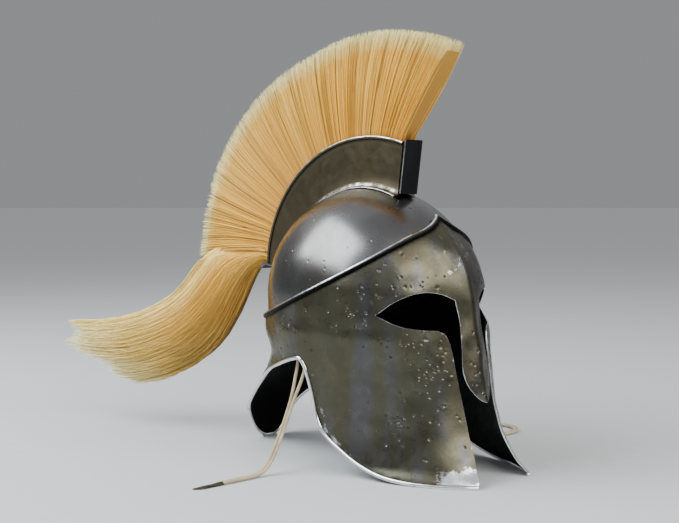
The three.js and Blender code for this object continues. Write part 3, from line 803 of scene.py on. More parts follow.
class SharedEffects:
    """Shader node groups that several finishes use; each is built once."""

    def __init__(self) -> None:
        """Builds the groups."""
        self.grain = self._grain()
        self.patina = self._patina()
        self.wear = self._wear_and_sheen()
        self.strand = self._strand()

    @staticmethod
    def _tree(name: str, inputs: dict[str, float], outputs: list[str]) -> tuple[Nodes, Callable, dict]:
        """A new group with value sockets, all of its inputs by name.

        Args:
            name: the group's name.
            inputs: its inputs and their usual values.
            outputs: its outputs.

        Returns:
            The node helper, a function that sends a value out, and the inputs' sockets.
        """
        tree = bpy.data.node_groups.new(name, "ShaderNodeTree")
        for key, value in inputs.items():
            socket = tree.interface.new_socket(key, in_out="INPUT", socket_type="NodeSocketFloat")
            socket.default_value = value
        for key in outputs:
            kind = "NodeSocketColor" if key == "Color" else "NodeSocketFloat"
            tree.interface.new_socket(key, in_out="OUTPUT", socket_type=kind)
        nodes = Nodes(tree)
        taken = nodes.new("NodeGroupInput")
        given = nodes.new("NodeGroupOutput")

        def put(key: str, value: Socket) -> None:
            """Sends a value out of the group."""
            tree.links.new(value, given.inputs[key])

        return nodes, put, {key: taken.outputs[key] for key in inputs}

    def _grain(self) -> Tree:
        """Fine hammered grain: a height made of small soft facets and finer noise.

        Returns:
            The group.
        """
        nodes, put, given = self._tree("hammered grain", {"Scale": 300.0, "Fine": 0.4}, ["Height"])
        at = nodes.new("ShaderNodeTexCoord").outputs["Object"]
        inputs = {"Vector": at, "Scale": given["Scale"], "Smoothness": 0.7}
        cells = nodes.new("ShaderNodeTexVoronoi", inputs, feature="SMOOTH_F1").outputs[0]
        fine = nodes.noise(at, nodes.math("MULTIPLY", given["Scale"], 2.7), 4.0, 0.6)
        put("Height", nodes.math("MULTIPLY_ADD", fine, given["Fine"], cells))
        return nodes.tree

    def _patina(self) -> Tree:
        """Old surface colour: large soft blotches, and smaller stains.

        Returns:
            The group.
        """
        nodes, put, given = self._tree("patina", {"Scale": 14.0, "Edge": 0.12}, ["Blotch", "Stain"])
        at = nodes.new("ShaderNodeTexCoord").outputs["Object"]
        warp = nodes.new("ShaderNodeTexNoise", {"Vector": at, "Scale": 20.0, "Detail": 2.0}).outputs["Color"]
        bent = nodes.vector("ADD", at, nodes.vector("SCALE", warp, None, 0.03))
        low = nodes.math("SUBTRACT", 0.5, given["Edge"])
        high = nodes.math("ADD", 0.5, given["Edge"])
        large = nodes.noise(bent, given["Scale"], 4.0, 0.55)
        small = nodes.noise(bent, nodes.math("MULTIPLY", given["Scale"], 5.5), 5.0, 0.65)
        put("Blotch", nodes.span(large, low, high))
        put("Stain", nodes.span(small, low, high))
        return nodes.tree

    def _wear_and_sheen(self) -> Tree:
        """Edge wear, with the painted highlights and reflections that share its mask: a mask near the edges,
        ragged where it fades out, as if rubbed.

        Returns:
            The group.
        """
        nodes, put, given = self._tree("edge wear", {"Edge": 0.0, "Scale": 130.0, "Amount": 0.9}, ["Mask"])
        at = nodes.new("ShaderNodeTexCoord").outputs["Object"]
        broken = nodes.span(nodes.noise(at, given["Scale"], 5.0, 0.65), 0.3, 0.7, (-0.55, 0.35))
        edge = nodes.math("ADD", nodes.math("MULTIPLY", given["Edge"], 1.35), broken)
        edge = nodes.math("MULTIPLY", edge, nodes.span(given["Edge"], 0.0, 0.06))
        put("Mask", nodes.math("MULTIPLY", nodes.span(edge, 0.25, 0.75), given["Amount"]))
        return nodes.tree

    def _strand(self) -> Tree:
        """A strand's own colour between light and dark, streaked in bunches across the hair.

        Returns:
            The group.
        """
        nodes, put, given = self._tree(
            "strand tone", {"Tone": 0.5, "Across": 0.5, "Bunches": 16.0, "Streaks": 0.5}, ["Shade"]
        )
        place = nodes.math("MULTIPLY", given["Across"], given["Bunches"])
        line = nodes.new("ShaderNodeCombineXYZ", {0: place}).outputs[0]
        bunch = nodes.span(nodes.noise(line, 1.0, 3.0, 0.6), 0.35, 0.65)
        put("Shade", nodes.math("ADD", nodes.math("MULTIPLY", bunch, given["Streaks"]), given["Tone"]))
        return nodes.tree


def principled(name: str, **sockets: object) -> tuple[Finish, Nodes, bpy.types.Node]:
    """A material with a Principled shader.

    Args:
        name: the material's name.
        sockets: plain values for the shader's sockets, with _ for a space in their names.

    Returns:
        The material, its node helper and the shader.
    """
    material = bpy.data.materials.new(name)
    material.use_nodes = True
    nodes = Nodes(material.node_tree)
    shader = nodes.new("ShaderNodeBsdfPrincipled")
    for key, value in sockets.items():
        value = (*value, 1.0) if isinstance(value, tuple) else value
        shader.inputs[key.replace("_", " ")].default_value = value
    nodes.new("ShaderNodeOutputMaterial", {"Surface": shader})
    return material, nodes, shader


# ---- finishes ----


@dataclass(frozen=True)
class SheetSteel:
    """Dark sheet steel: bands of three tints, fine grain, bright worn edges with painted highlights and
    reflections, painted shade, and an inside painted near black as shade.
    """

    name: str
    light: Colour = (0.096, 0.094, 0.068)
    tint: Colour = (0.085, 0.076, 0.05)
    cool: Colour = (0.1, 0.1, 0.112)
    # Bright metal of worn edges, and of painted highlights and reflections.
    bright: Colour = (0.86, 0.87, 0.88)
    # Colour of the painted shade under beads and rims.
    grime: Colour = (0.006, 0.006, 0.006)
    # Painted shade: the whole inner face near black, for the shade inside the helmet.
    inside: Colour = (0.008, 0.008, 0.008)
    rough: Span = (0.25, 0.37)
    blotches: float = 14.0
    bands: float = 24.0
    grain: float = 420.0
    bump: float = 0.1
    wear: float = 0.95
    shade: float = 0.55
    mottle: float = 0.3
    # How far painted shade darkens the inside of the pits.
    pit_shade: float = 0.45

    def material(self, shared: SharedEffects) -> Finish:
        """Builds the node tree.

        Args:
            shared: the shared effects.

        Returns:
            The material.
        """
        material, nodes, shader = principled(self.name, Metallic=1.0)
        patina = nodes.group(shared.patina, {"Scale": self.blotches, "Edge": 0.14})
        # The bright mask: edge wear, and painted highlights and reflections where a piece marks them.
        worn = nodes.group(shared.wear, {"Edge": nodes.attribute("worn"), "Amount": self.wear}).outputs[0]
        # Painted shade: a mask for the shadows under beads and rims and in the corners of the crest's foot.
        grime = nodes.attribute("grime")
        lining = nodes.attribute("lining")
        at = nodes.new("ShaderNodeTexCoord").outputs["Object"]
        upright = nodes.vector("MULTIPLY", at, (1.0, 1.0, 0.1))
        tinted = nodes.span(nodes.noise(upright, self.bands, 3.0), 0.36, 0.62)
        colour = nodes.blend(tinted, self.light, self.tint)
        cool = nodes.span(nodes.noise(upright, 1.7 * self.bands, 2.0), 0.5, 0.68, (0.0, 0.8))
        colour = nodes.blend(cool, colour, self.cool)
        darker = tuple(self.shade * c for c in self.light)
        colour = nodes.blend(nodes.math("MULTIPLY", patina.outputs["Blotch"], self.mottle), colour, darker)
        colour = nodes.blend(nodes.math("MULTIPLY", patina.outputs["Stain"], self.mottle), colour, darker)
        # Painted shade inside the pits.
        painted_shading = nodes.span(nodes.attribute("pit"), 0.2, 0.9, (0.0, self.pit_shade))
        colour = nodes.blend(painted_shading, colour, darker)
        colour = nodes.blend(worn, colour, self.bright)
        # Painted shade, near black, where that mask is set.
        colour = nodes.blend(grime, colour, self.grime)
        # Painted shade: the inner face near black.
        colour = nodes.blend(lining, colour, self.inside)
        rough = nodes.span(patina.outputs["Stain"], 0, 1, self.rough)
        rough = nodes.math("MULTIPLY_ADD", worn, -0.08, rough)
        rough = nodes.math("MULTIPLY_ADD", nodes.math("MAXIMUM", lining, grime), 0.35, rough)
        height = nodes.group(shared.grain, {"Scale": self.grain, "Fine": 0.5}).outputs[0]
        bump = nodes.new("ShaderNodeBump", {"Strength": self.bump, "Distance": 0.0004, "Height": height})
        nodes.tree.links.new(colour, shader.inputs["Base Color"])
        nodes.tree.links.new(rough, shader.inputs["Roughness"])
        nodes.tree.links.new(bump.outputs[0], shader.inputs["Normal"])
        return material


@dataclass(frozen=True)
class Hair:
    """Horsehair: a ramp of colours from root to tip, each strand its own tone, streaked in bunches.

    The lower side of the hair can take painted shade, and its upper side painted light.
    """

    name: str
    stops: tuple[tuple[float, Colour], ...]
    dark: Colour = (0.1, 0.036, 0.006)
    pale: Colour = (1.0, 0.78, 0.24)
    bunches: float = 18.0
    streaks: float = 0.55
    # Painted shade on the lower side and painted light on the upper side.
    painted_shade_below: float = 0.0
    painted_light_above: float = 0.0
    rough: Span = (0.42, 0.6)

    def material(self, shared: SharedEffects) -> Finish:
        """Builds the node tree.

        Args:
            shared: the shared effects.

        Returns:
            The material.
        """
        material, nodes, shader = principled(
            self.name, Roughness=0.5, Specular_IOR_Level=0.3, Sheen_Weight=0.1, Sheen_Roughness=0.4
        )
        along = nodes.attribute("strand_along")
        tone = nodes.attribute("strand_tone")
        across = nodes.attribute("strand_across")
        inputs = {"Tone": tone, "Across": across, "Bunches": self.bunches, "Streaks": self.streaks}
        shade = nodes.group(shared.strand, inputs).outputs[0]
        colour = nodes.ramp(along, list(self.stops))
        streak = nodes.span(shade, 0.9, 1.35, (0.0, 0.75))
        # Painted shade: the lower side of the hair turns browner, away from the root and the tip.
        middle = nodes.math("MULTIPLY", nodes.span(along, 0.02, 0.2), nodes.span(along, 0.95, 0.65))
        low = nodes.math("MULTIPLY", nodes.span(across, 0.75, 0.0), middle)
        low = nodes.math("MULTIPLY", low, nodes.span(shade, 0.3, 1.0, (0.25, self.painted_shade_below)))
        low = nodes.math("MULTIPLY", low, 1.0 if self.painted_shade_below else 0.0)
        colour = nodes.blend(nodes.math("MAXIMUM", streak, low), colour, self.dark)
        # Painted light: the upper side turns paler; the random pale strands are the hair's own tone.
        high = nodes.span(across, 0.68, 1.0, (0.0, self.painted_light_above))
        high = nodes.math("MAXIMUM", high, nodes.span(shade, 0.4, 0.05, (0.0, 0.5)))
        colour = nodes.blend(high, colour, self.pale)
        nodes.tree.links.new(colour, shader.inputs["Base Color"])
        nodes.tree.links.new(nodes.span(tone, 0, 1, self.rough), shader.inputs["Roughness"])
        return material


@dataclass(frozen=True)
class TwistedCord:
    """Undyed cord: cream yarns with painted shade between them, and a fibrous surface."""

    name: str = "cord yarn"
    light: Colour = (0.56, 0.48, 0.29)
    dark: Colour = (0.1, 0.062, 0.026)
    fuzz: Colour = (0.85, 0.8, 0.62)
    fibres: float = 1400.0
    stains: float = 90.0

    def material(self, shared: SharedEffects) -> Finish:
        """Builds the node tree.

        Args:
            shared: the shared effects; not used.

        Returns:
            The material.
        """
        material, nodes, shader = principled(self.name, Roughness=0.85, Sheen_Weight=0.3)
        at = nodes.new("ShaderNodeTexCoord").outputs["Object"]
        fibre = nodes.noise(at, self.fibres, 4.0, 0.6)
        uneven = nodes.noise(at, self.stains, 3.0, 0.5)
        # Painted shade in the grooves between the yarns.
        groove = nodes.span(nodes.attribute("groove"), 0.1, 0.9)
        colour = nodes.blend(groove, self.light, self.dark)
        colour = nodes.blend(nodes.span(uneven, 0.35, 0.7, (0.0, 0.45)), colour, self.dark)
        colour = nodes.blend(nodes.span(fibre, 0.5, 0.8, (0.0, 0.4)), colour, self.fuzz)
        bump = nodes.new("ShaderNodeBump", {"Strength": 0.5, "Distance": 0.0003, "Height": fibre})
        nodes.tree.links.new(colour, shader.inputs["Base Color"])
        nodes.tree.links.new(bump.outputs[0], shader.inputs["Normal"])
        return material


@dataclass(frozen=True)
class Leather:
    """Black-brown leather with a pebbled grain and rubbed edges."""

    name: str = "dark leather"
    base: Colour = (0.008, 0.007, 0.007)
    rubbed: Colour = (0.03, 0.02, 0.014)
    pebbles: float = 900.0
    creases: float = 160.0
    rough: Span = (0.18, 0.36)

    def material(self, shared: SharedEffects) -> Finish:
        """Builds the node tree.

        Args:
            shared: the shared effects.

        Returns:
            The material.
        """
        material, nodes, shader = principled(self.name, Specular_IOR_Level=0.6)
        at = nodes.new("ShaderNodeTexCoord").outputs["Object"]
        inputs = {"Vector": at, "Scale": self.pebbles, "Smoothness": 0.4}
        pebble = nodes.new("ShaderNodeTexVoronoi", inputs, feature="SMOOTH_F1")
        crease = nodes.noise(at, self.creases, 4.0, 0.6)
        inputs = {"Edge": nodes.attribute("worn"), "Scale": 500.0, "Amount": 0.8}
        worn = nodes.group(shared.wear, inputs).outputs[0]
        height = nodes.math("MULTIPLY_ADD", crease, 2.0, pebble.outputs[0])
        bump = nodes.new("ShaderNodeBump", {"Strength": 0.6, "Distance": 0.0003, "Height": height})
        nodes.tree.links.new(nodes.blend(worn, self.base, self.rubbed), shader.inputs["Base Color"])
        nodes.tree.links.new(nodes.span(crease, 0.3, 0.7, self.rough), shader.inputs["Roughness"])
        nodes.tree.links.new(bump.outputs[0], shader.inputs["Normal"])
        return material


class Finishes:
    """The materials, made once."""

    def __init__(self) -> None:
        """Builds every finish."""
        shared = SharedEffects()
        self.skull = SheetSteel(
            "skull steel", light=(0.155, 0.155, 0.158), tint=(0.13, 0.115, 0.092),
            cool=(0.15, 0.15, 0.165), rough=(0.22, 0.28), blotches=9.0, bands=10.0, grain=600.0,
            bump=0.03,
        ).material(shared)
        self.mask = SheetSteel("hammered steel").material(shared)
        self.rim = SheetSteel(
            "polished rim", light=(0.3, 0.3, 0.295), tint=(0.22, 0.21, 0.19), rough=(0.18, 0.26), bump=0.05
        ).material(shared)
        self.crest = SheetSteel(
            "crest steel", light=(0.12, 0.1, 0.062), tint=(0.096, 0.08, 0.05), cool=(0.11, 0.1, 0.075),
            bright=(0.72, 0.7, 0.66), rough=(0.3, 0.4), bands=9.0, grain=500.0, bump=0.05,
        ).material(shared)
        self.black = SheetSteel(
            "black steel", light=(0.022, 0.022, 0.024), tint=(0.016, 0.016, 0.016),
            cool=(0.022, 0.022, 0.026), bright=(0.3, 0.3, 0.3), rough=(0.32, 0.5), bump=0.15, wear=0.6,
        ).material(shared)
        self.hair = Hair(
            "crest horsehair",
            stops=(
                *((0.0, (0.28, 0.115, 0.012)), (0.1, (0.74, 0.35, 0.026)), (0.45, (0.86, 0.44, 0.036))),
                *((0.8, (0.94, 0.54, 0.065)), (0.9, (1.0, 0.8, 0.28)), (1.0, (1.0, 0.94, 0.46))),
            ),
        ).material(shared)
        self.tail = Hair(
            "tail horsehair",
            stops=(
                *((0.0, (0.5, 0.23, 0.024)), (0.12, (0.86, 0.45, 0.045)), (0.45, (0.82, 0.42, 0.04))),
                *((0.75, (0.95, 0.65, 0.15)), (1.0, (1.0, 0.94, 0.5))),
            ),
            bunches=26.0,
            streaks=0.5,
            painted_shade_below=0.95,
            painted_light_above=0.85,
        ).material(shared)
        self.cord = TwistedCord().material(shared)
        self.leather = Leather().material(shared)


# ---- the skull and the mask ----


@dataclass
class Skull:
    """The plain bowl, with a few small dents low on its sides."""

    form: HeadForm
    polar: float = 115.0
    grid: float = 3.4
    dents: int = 70
    dent_radius: Span = (0.9, 1.6)
    dent_depth: Span = (0.2, 0.45)
    around: int = 300

    LOWEST_DENT = 9.0
    USUAL_DENT = 26.0
    CALM_TOP = 22.0

    def flat(self, phi: Array, z: Array) -> Array:
        """The bowl spread on a disc: the way down from the crown is the distance from the middle.

        Args:
            phi: the turn round the head.
            z: height.

        Returns:
            Points of the disc.
        """
        form = self.form
        cos = np.clip((z - form.centre) / form.rise, 0, 1)
        r = self.polar * np.arccos(cos) + np.maximum(0, form.centre - z)
        return np.stack([r * np.cos(phi), r * np.sin(phi)], axis=-1)

    def height(self, at: Array) -> tuple[Array, Array]:
        """The turn round the head and the height of points on the disc.

        Args:
            at: points of the disc.

        Returns:
            Both, for each point.
        """
        r = np.linalg.norm(at, axis=1)
        over = np.maximum(0, r - self.polar * math.pi / 2)
        z = self.form.centre + self.form.rise * np.cos(np.minimum(r / self.polar, math.pi / 2)) - over
        return np.arctan2(at[:, 1], at[:, 0]), z

    def build(self, finish: Finish) -> Piece:
        """Makes the bowl and dresses it.

        Args:
            finish: its material.
        """
        form = self.form
        phi = np.arange(self.around) / self.around * TURN
        wrapped = np.where(phi > math.pi, phi - TURN, phi)
        low = form.ridge(wrapped * form.radius) - form.overlap
        outline = self.flat(phi, low)
        rng = np.random.default_rng(SEED + 1)
        turn = rng.uniform(0, TURN, self.dents)
        ridge = form.ridge(np.where(turn > math.pi, turn - TURN, turn) * form.radius)
        z = ridge + self.LOWEST_DENT + rng.exponential(self.USUAL_DENT, self.dents)
        at = self.flat(turn, np.minimum(z, form.centre + form.rise - self.CALM_TOP))
        radius = rng.uniform(*self.dent_radius, self.dents)
        dents = Dents(at, radius, rng.uniform(*self.dent_depth, self.dents))
        stretch = np.ones((self.dents, 2))
        sheet = DentedSheet(outline, np.ones(len(outline)), self.grid, form.wall, 0.3)

        def put(points: Array, lift: Array) -> Array:
            """Wraps points of the disc on the bowl."""
            around, height = self.height(points)
            return form.on_bowl(around, height, lift - form.wall)

        shape = sheet.shape(put, dents, stretch, waves(60, 0.07, 3), lambda p: {"worn": np.zeros(len(p))})
        piece = shape.build("skull_bowl")
        dress(piece, finish, ("skull",))
        return piece


@dataclass
class Mask:
    """Brow, nose guard, cheek guards and neck guard in one hammered plate, with its two rolled edges."""

    form: HeadForm
    grid: float = 3.0
    clusters: int = 44
    scattered: int = 150
    bead: float = 2.2
    stand: float = 1.4
    pit_radius: Span = (0.9, 2.1)
    pit_depth: Span = (0.3, 0.8)
    # The pattern's edges: the nose guard as height and half width, the others as points (s, z).
    nose: Rows = ((76, 0), (79, 7), (86, 14), (96, 20), (108, 22), (130, 19), (155, 17), (177, 20))
    eye_top: Rows = ((20, 177), (34, 183), (55, 185), (78, 178), (100, 163))
    eye_bottom: Rows = ((100, 163), (80, 153), (60, 149), (42, 148))
    cheek: Rows = ((42, 148), (34.5, 144), (31, 134), (30, 105), (29, 70), (32, 35), (40, 12), (48, 0))
    hem: Rows = (
        *((48, 0), (62, 0.8), (84, 1.5), (105, 2.8), (119, 6), (132, 13.5), (146, 26), (156, 36), (163, 46)),
        *((166.5, 58), (168.5, 72), (170.5, 86), (172.5, 97), (175.5, 107), (181, 114.5), (193, 113)),
        *((208, 108.5), (222, 103.5), (240, 97), (256, 88), (272, 74), (288, 54), (304, 33), (318, 15)),
        (332, 4.5),
    )

    HEM_STEPS = 170
    SWARM = 15.0
    SWARM_PITS = (10, 24)
    SWARM_HEIGHTS = (15, 240)
    PIT_HEIGHTS = (5, 255)
    SEAM_CLEAR = 4.0
    EDGE_CLEAR = 4.5
    RIDGE_CLEAR = 10.0
    WAVES = (42, 0.3, 5)
    # The rolled top edge: round its bead in degrees, and the points (down, out) of its hidden back.
    BEAD_TURNS = (190, 160, 130, 105, 80, 55, 30, 5, -20, -45, -70, -88)
    BEAD_BACK = ((6.2, 0.9), (3.0, 0.4), (1.0, 0.2))
    BEAD_HALF = 3.0
    BEAD_OUT = 2.75

    def hem_line(self, count: int) -> Array:
        """The lower edge on the wearer's left, from the cheek tip to the nape."""
        return spline(np.array([*self.hem, (self.form.half_turn, 0)], float), count)

    def lower_edge(self) -> Array:
        """The cut edge from the nape round the wearer's right, the face opening and the left.

        Returns:
            An array of points.
        """
        nose = spline(np.array([(half, z) for z, half in self.nose], float), 44)
        parts = [
            nose, spline(np.array(self.eye_top, float), 34)[1:],
            spline(np.array(self.eye_bottom, float), 26)[1:],
            spline(np.array(self.cheek, float), 60)[1:], self.hem_line(self.HEM_STEPS)[1:],
        ]
        left = np.vstack(parts)
        return np.vstack([left[::-1] * [-1, 1], left[1:]])

    def outline(self) -> tuple[Array, Array, Array]:
        """The whole plate's outline, which of its points are cut edges, and its lower part.

        Returns:
            The three arrays.
        """
        lower = self.lower_edge()
        s = np.linspace(self.form.half_turn, -self.form.half_turn, 261)
        upper = np.stack([s, self.form.ridge(s)], axis=-1)
        heights = np.linspace(lower[-1, 1], upper[0, 1], 52)[1:-1]
        seam = np.stack([np.full(len(heights), self.form.half_turn), heights], axis=-1)
        outline = np.vstack([lower, seam, upper, seam[::-1] * [-1, 1]])
        joined = np.zeros(len(seam))
        cut = np.concatenate([np.ones(len(lower)), joined, np.ones(len(upper)), joined])
        return outline, cut, lower

    def pits(self, outline: Array) -> Dents:
        """Small pits in loose clusters over the plate.

        Args:
            outline: the plate's outline.

        Returns:
            The pits.
        """
        rng = np.random.default_rng(SEED + 2)
        half = self.form.half_turn

        def scatter(count: int, low: float, high: float) -> Array:
            """Places anywhere on the pattern, between two heights."""
            return np.stack([rng.uniform(-half, half, count), rng.uniform(low, high, count)], axis=-1)

        middles = scatter(self.clusters, *self.SWARM_HEIGHTS)
        found = [scatter(self.scattered, *self.PIT_HEIGHTS)]
        found += [m + rng.normal(0, self.SWARM, (int(rng.integers(*self.SWARM_PITS)), 2)) for m in middles]
        at = np.vstack(found)
        at = at[np.abs(at[:, 0]) < half - self.SEAM_CLEAR]
        at = at[inside(at, outline)]
        low = at[:, 1] < self.form.ridge(at[:, 0]) - self.RIDGE_CLEAR
        at = at[(distance(at, outline) > self.EDGE_CLEAR) & low]
        return Dents(at, rng.uniform(*self.pit_radius, len(at)), rng.uniform(*self.pit_depth, len(at)))

    def masks(self, lower: Array) -> Callable[[Array], dict[str, Array]]:
        """Where the plate is rubbed bright, where highlights and reflections are painted on it, and where shade
        is painted under its beads.

        Args:
            lower: the cut edge from the nape to the nape.

        Returns:
            A function from points of the pattern to two masks: wear with painted highlights and reflections,
            and painted shade.
        """
        openings = lower[np.abs(lower[:, 0]) < 101]
        openings = openings[(np.abs(openings[:, 0]) < 47) | (openings[:, 1] > 140)]
        hem = np.vstack([self.hem_line(self.HEM_STEPS) * [-1, 1], self.hem_line(self.HEM_STEPS)[::-1]])

        def at(points: Array) -> dict[str, Array]:
            """The masks at points of the pattern."""
            s, z = np.abs(points[:, 0]), points[:, 1]
            to_hem = distance(points, hem)
            bare = np.exp(-((distance(points, openings) / 0.25) ** 2))
            # Painted reflection: a soft bright patch at the rear corner of each cheek guard, by the hem.
            corner = 0.42 * np.exp(-(((to_hem - 4) / 4) ** 2)) * np.exp(-(((s - 152) / 12) ** 2))
            # Painted reflection: the bright triangle at each cheek guard's tip, where the flare faces the pale
            # floor.
            tip = 0.95 * smooth((22 - z) / 16) * smooth((86 - s) / 26)
            # Painted highlight on the brow.
            brow = 0.22 * np.exp(-(((z - 222) / 20) ** 2) - ((s - 14) / 12) ** 2)
            # Painted shadow under the hem bead.
            under = np.clip(1 - (to_hem - self.bead) / 1.1, 0, 1) ** 2
            # Painted shade in the groove under the top bead.
            painted_shade_below = np.clip(1 - (self.form.ridge(points[:, 0]) - z - 6.2) / 3.0, 0, 1)
            # The bright mask: edge wear along the openings, with the painted reflections and the painted
            # highlight.
            worn = np.max([bare, corner, tip, brow], axis=0)
            return {"worn": worn, "grime": np.maximum(under * 0.8, painted_shade_below)}

        return at

    def build(self, finish: Finish, polish: Finish) -> None:
        """Makes the plate and its rolled edges and dresses them.

        Args:
            finish: the plate's material.
            polish: the rolled edges' material.
        """
        form = self.form
        outline, cut, lower = self.outline()
        pits = self.pits(outline)
        sheet = DentedSheet(outline, cut, self.grid, form.wall)

        def put(points: Array, lift: Array) -> Array:
            """Wraps points of the pattern round the head."""
            return form.on_mask(points[:, 0], points[:, 1], lift)

        stretch = np.ones((len(pits.at), 2))
        shape = sheet.shape(put, pits, stretch, waves(*self.WAVES), self.masks(lower))
        dress(shape.build("mask_plate"), finish, ("mask",))
        dress(self.ridge_rim(), polish)
        dress(self.hem_rim(), polish)

    def ridge_rim(self) -> Piece:
        """The rolled bead along the mask's top edge, with painted shade underneath and a painted highlight
        along its top.

        Returns:
            The bead.
        """
        form = self.form
        s = np.linspace(-form.half_turn, form.half_turn, 360, endpoint=False)
        turn = np.radians(self.BEAD_TURNS)
        down = self.BEAD_HALF - self.BEAD_HALF * np.sin(turn)
        out = form.wall - 0.1 + np.maximum(0, np.cos(turn)) * self.BEAD_OUT
        out[turn > math.pi / 2] = form.wall * (1 - (turn[turn > math.pi / 2] - math.pi / 2) / 1.75)
        top = form.ridge(s)
        rings = np.stack([form.on_mask(s, top - d, o) for d, o in zip(down, out)], axis=1)
        back = np.stack([form.on_mask(s, top - d, o) for d, o in self.BEAD_BACK], axis=1)
        shape = Shape()
        # Painted shade on the bead's lower half and its hidden back; painted highlight along its top.
        grime = np.concatenate([smooth((down - 1.9) / 1.2), [1, 0, 0]])
        worn = np.concatenate([np.exp(-(((down - 0.9) / 0.9) ** 2)), [0, 0, 0]])
        shape.skin(np.concatenate([rings, back], axis=1), loop=True, grime=grime[None], worn=worn[None])
        return shape.build("mask_ridge_rim", sharp=60)

    def hem_rim(self) -> Piece:
        """The rolled bead along the lower edge, from cheek tip to cheek tip round the nape.

        Returns:
            The bead.
        """
        form = self.form
        half = self.hem_line(230)
        line = np.vstack([half, half[-2::-1] * [-1, 1]])
        path = form.on_mask(line[:, 0], np.maximum(line[:, 1], self.stand), form.wall / 2)
        rings = domed(tube(path, self.bead, 18))
        rings[..., 2] = np.maximum(rings[..., 2], 0.0)
        shape = Shape()
        shape.skin(rings, worn=0.75)
        return shape.build("mask_hem_rim", sharp=70)


# ---- the crest box ----


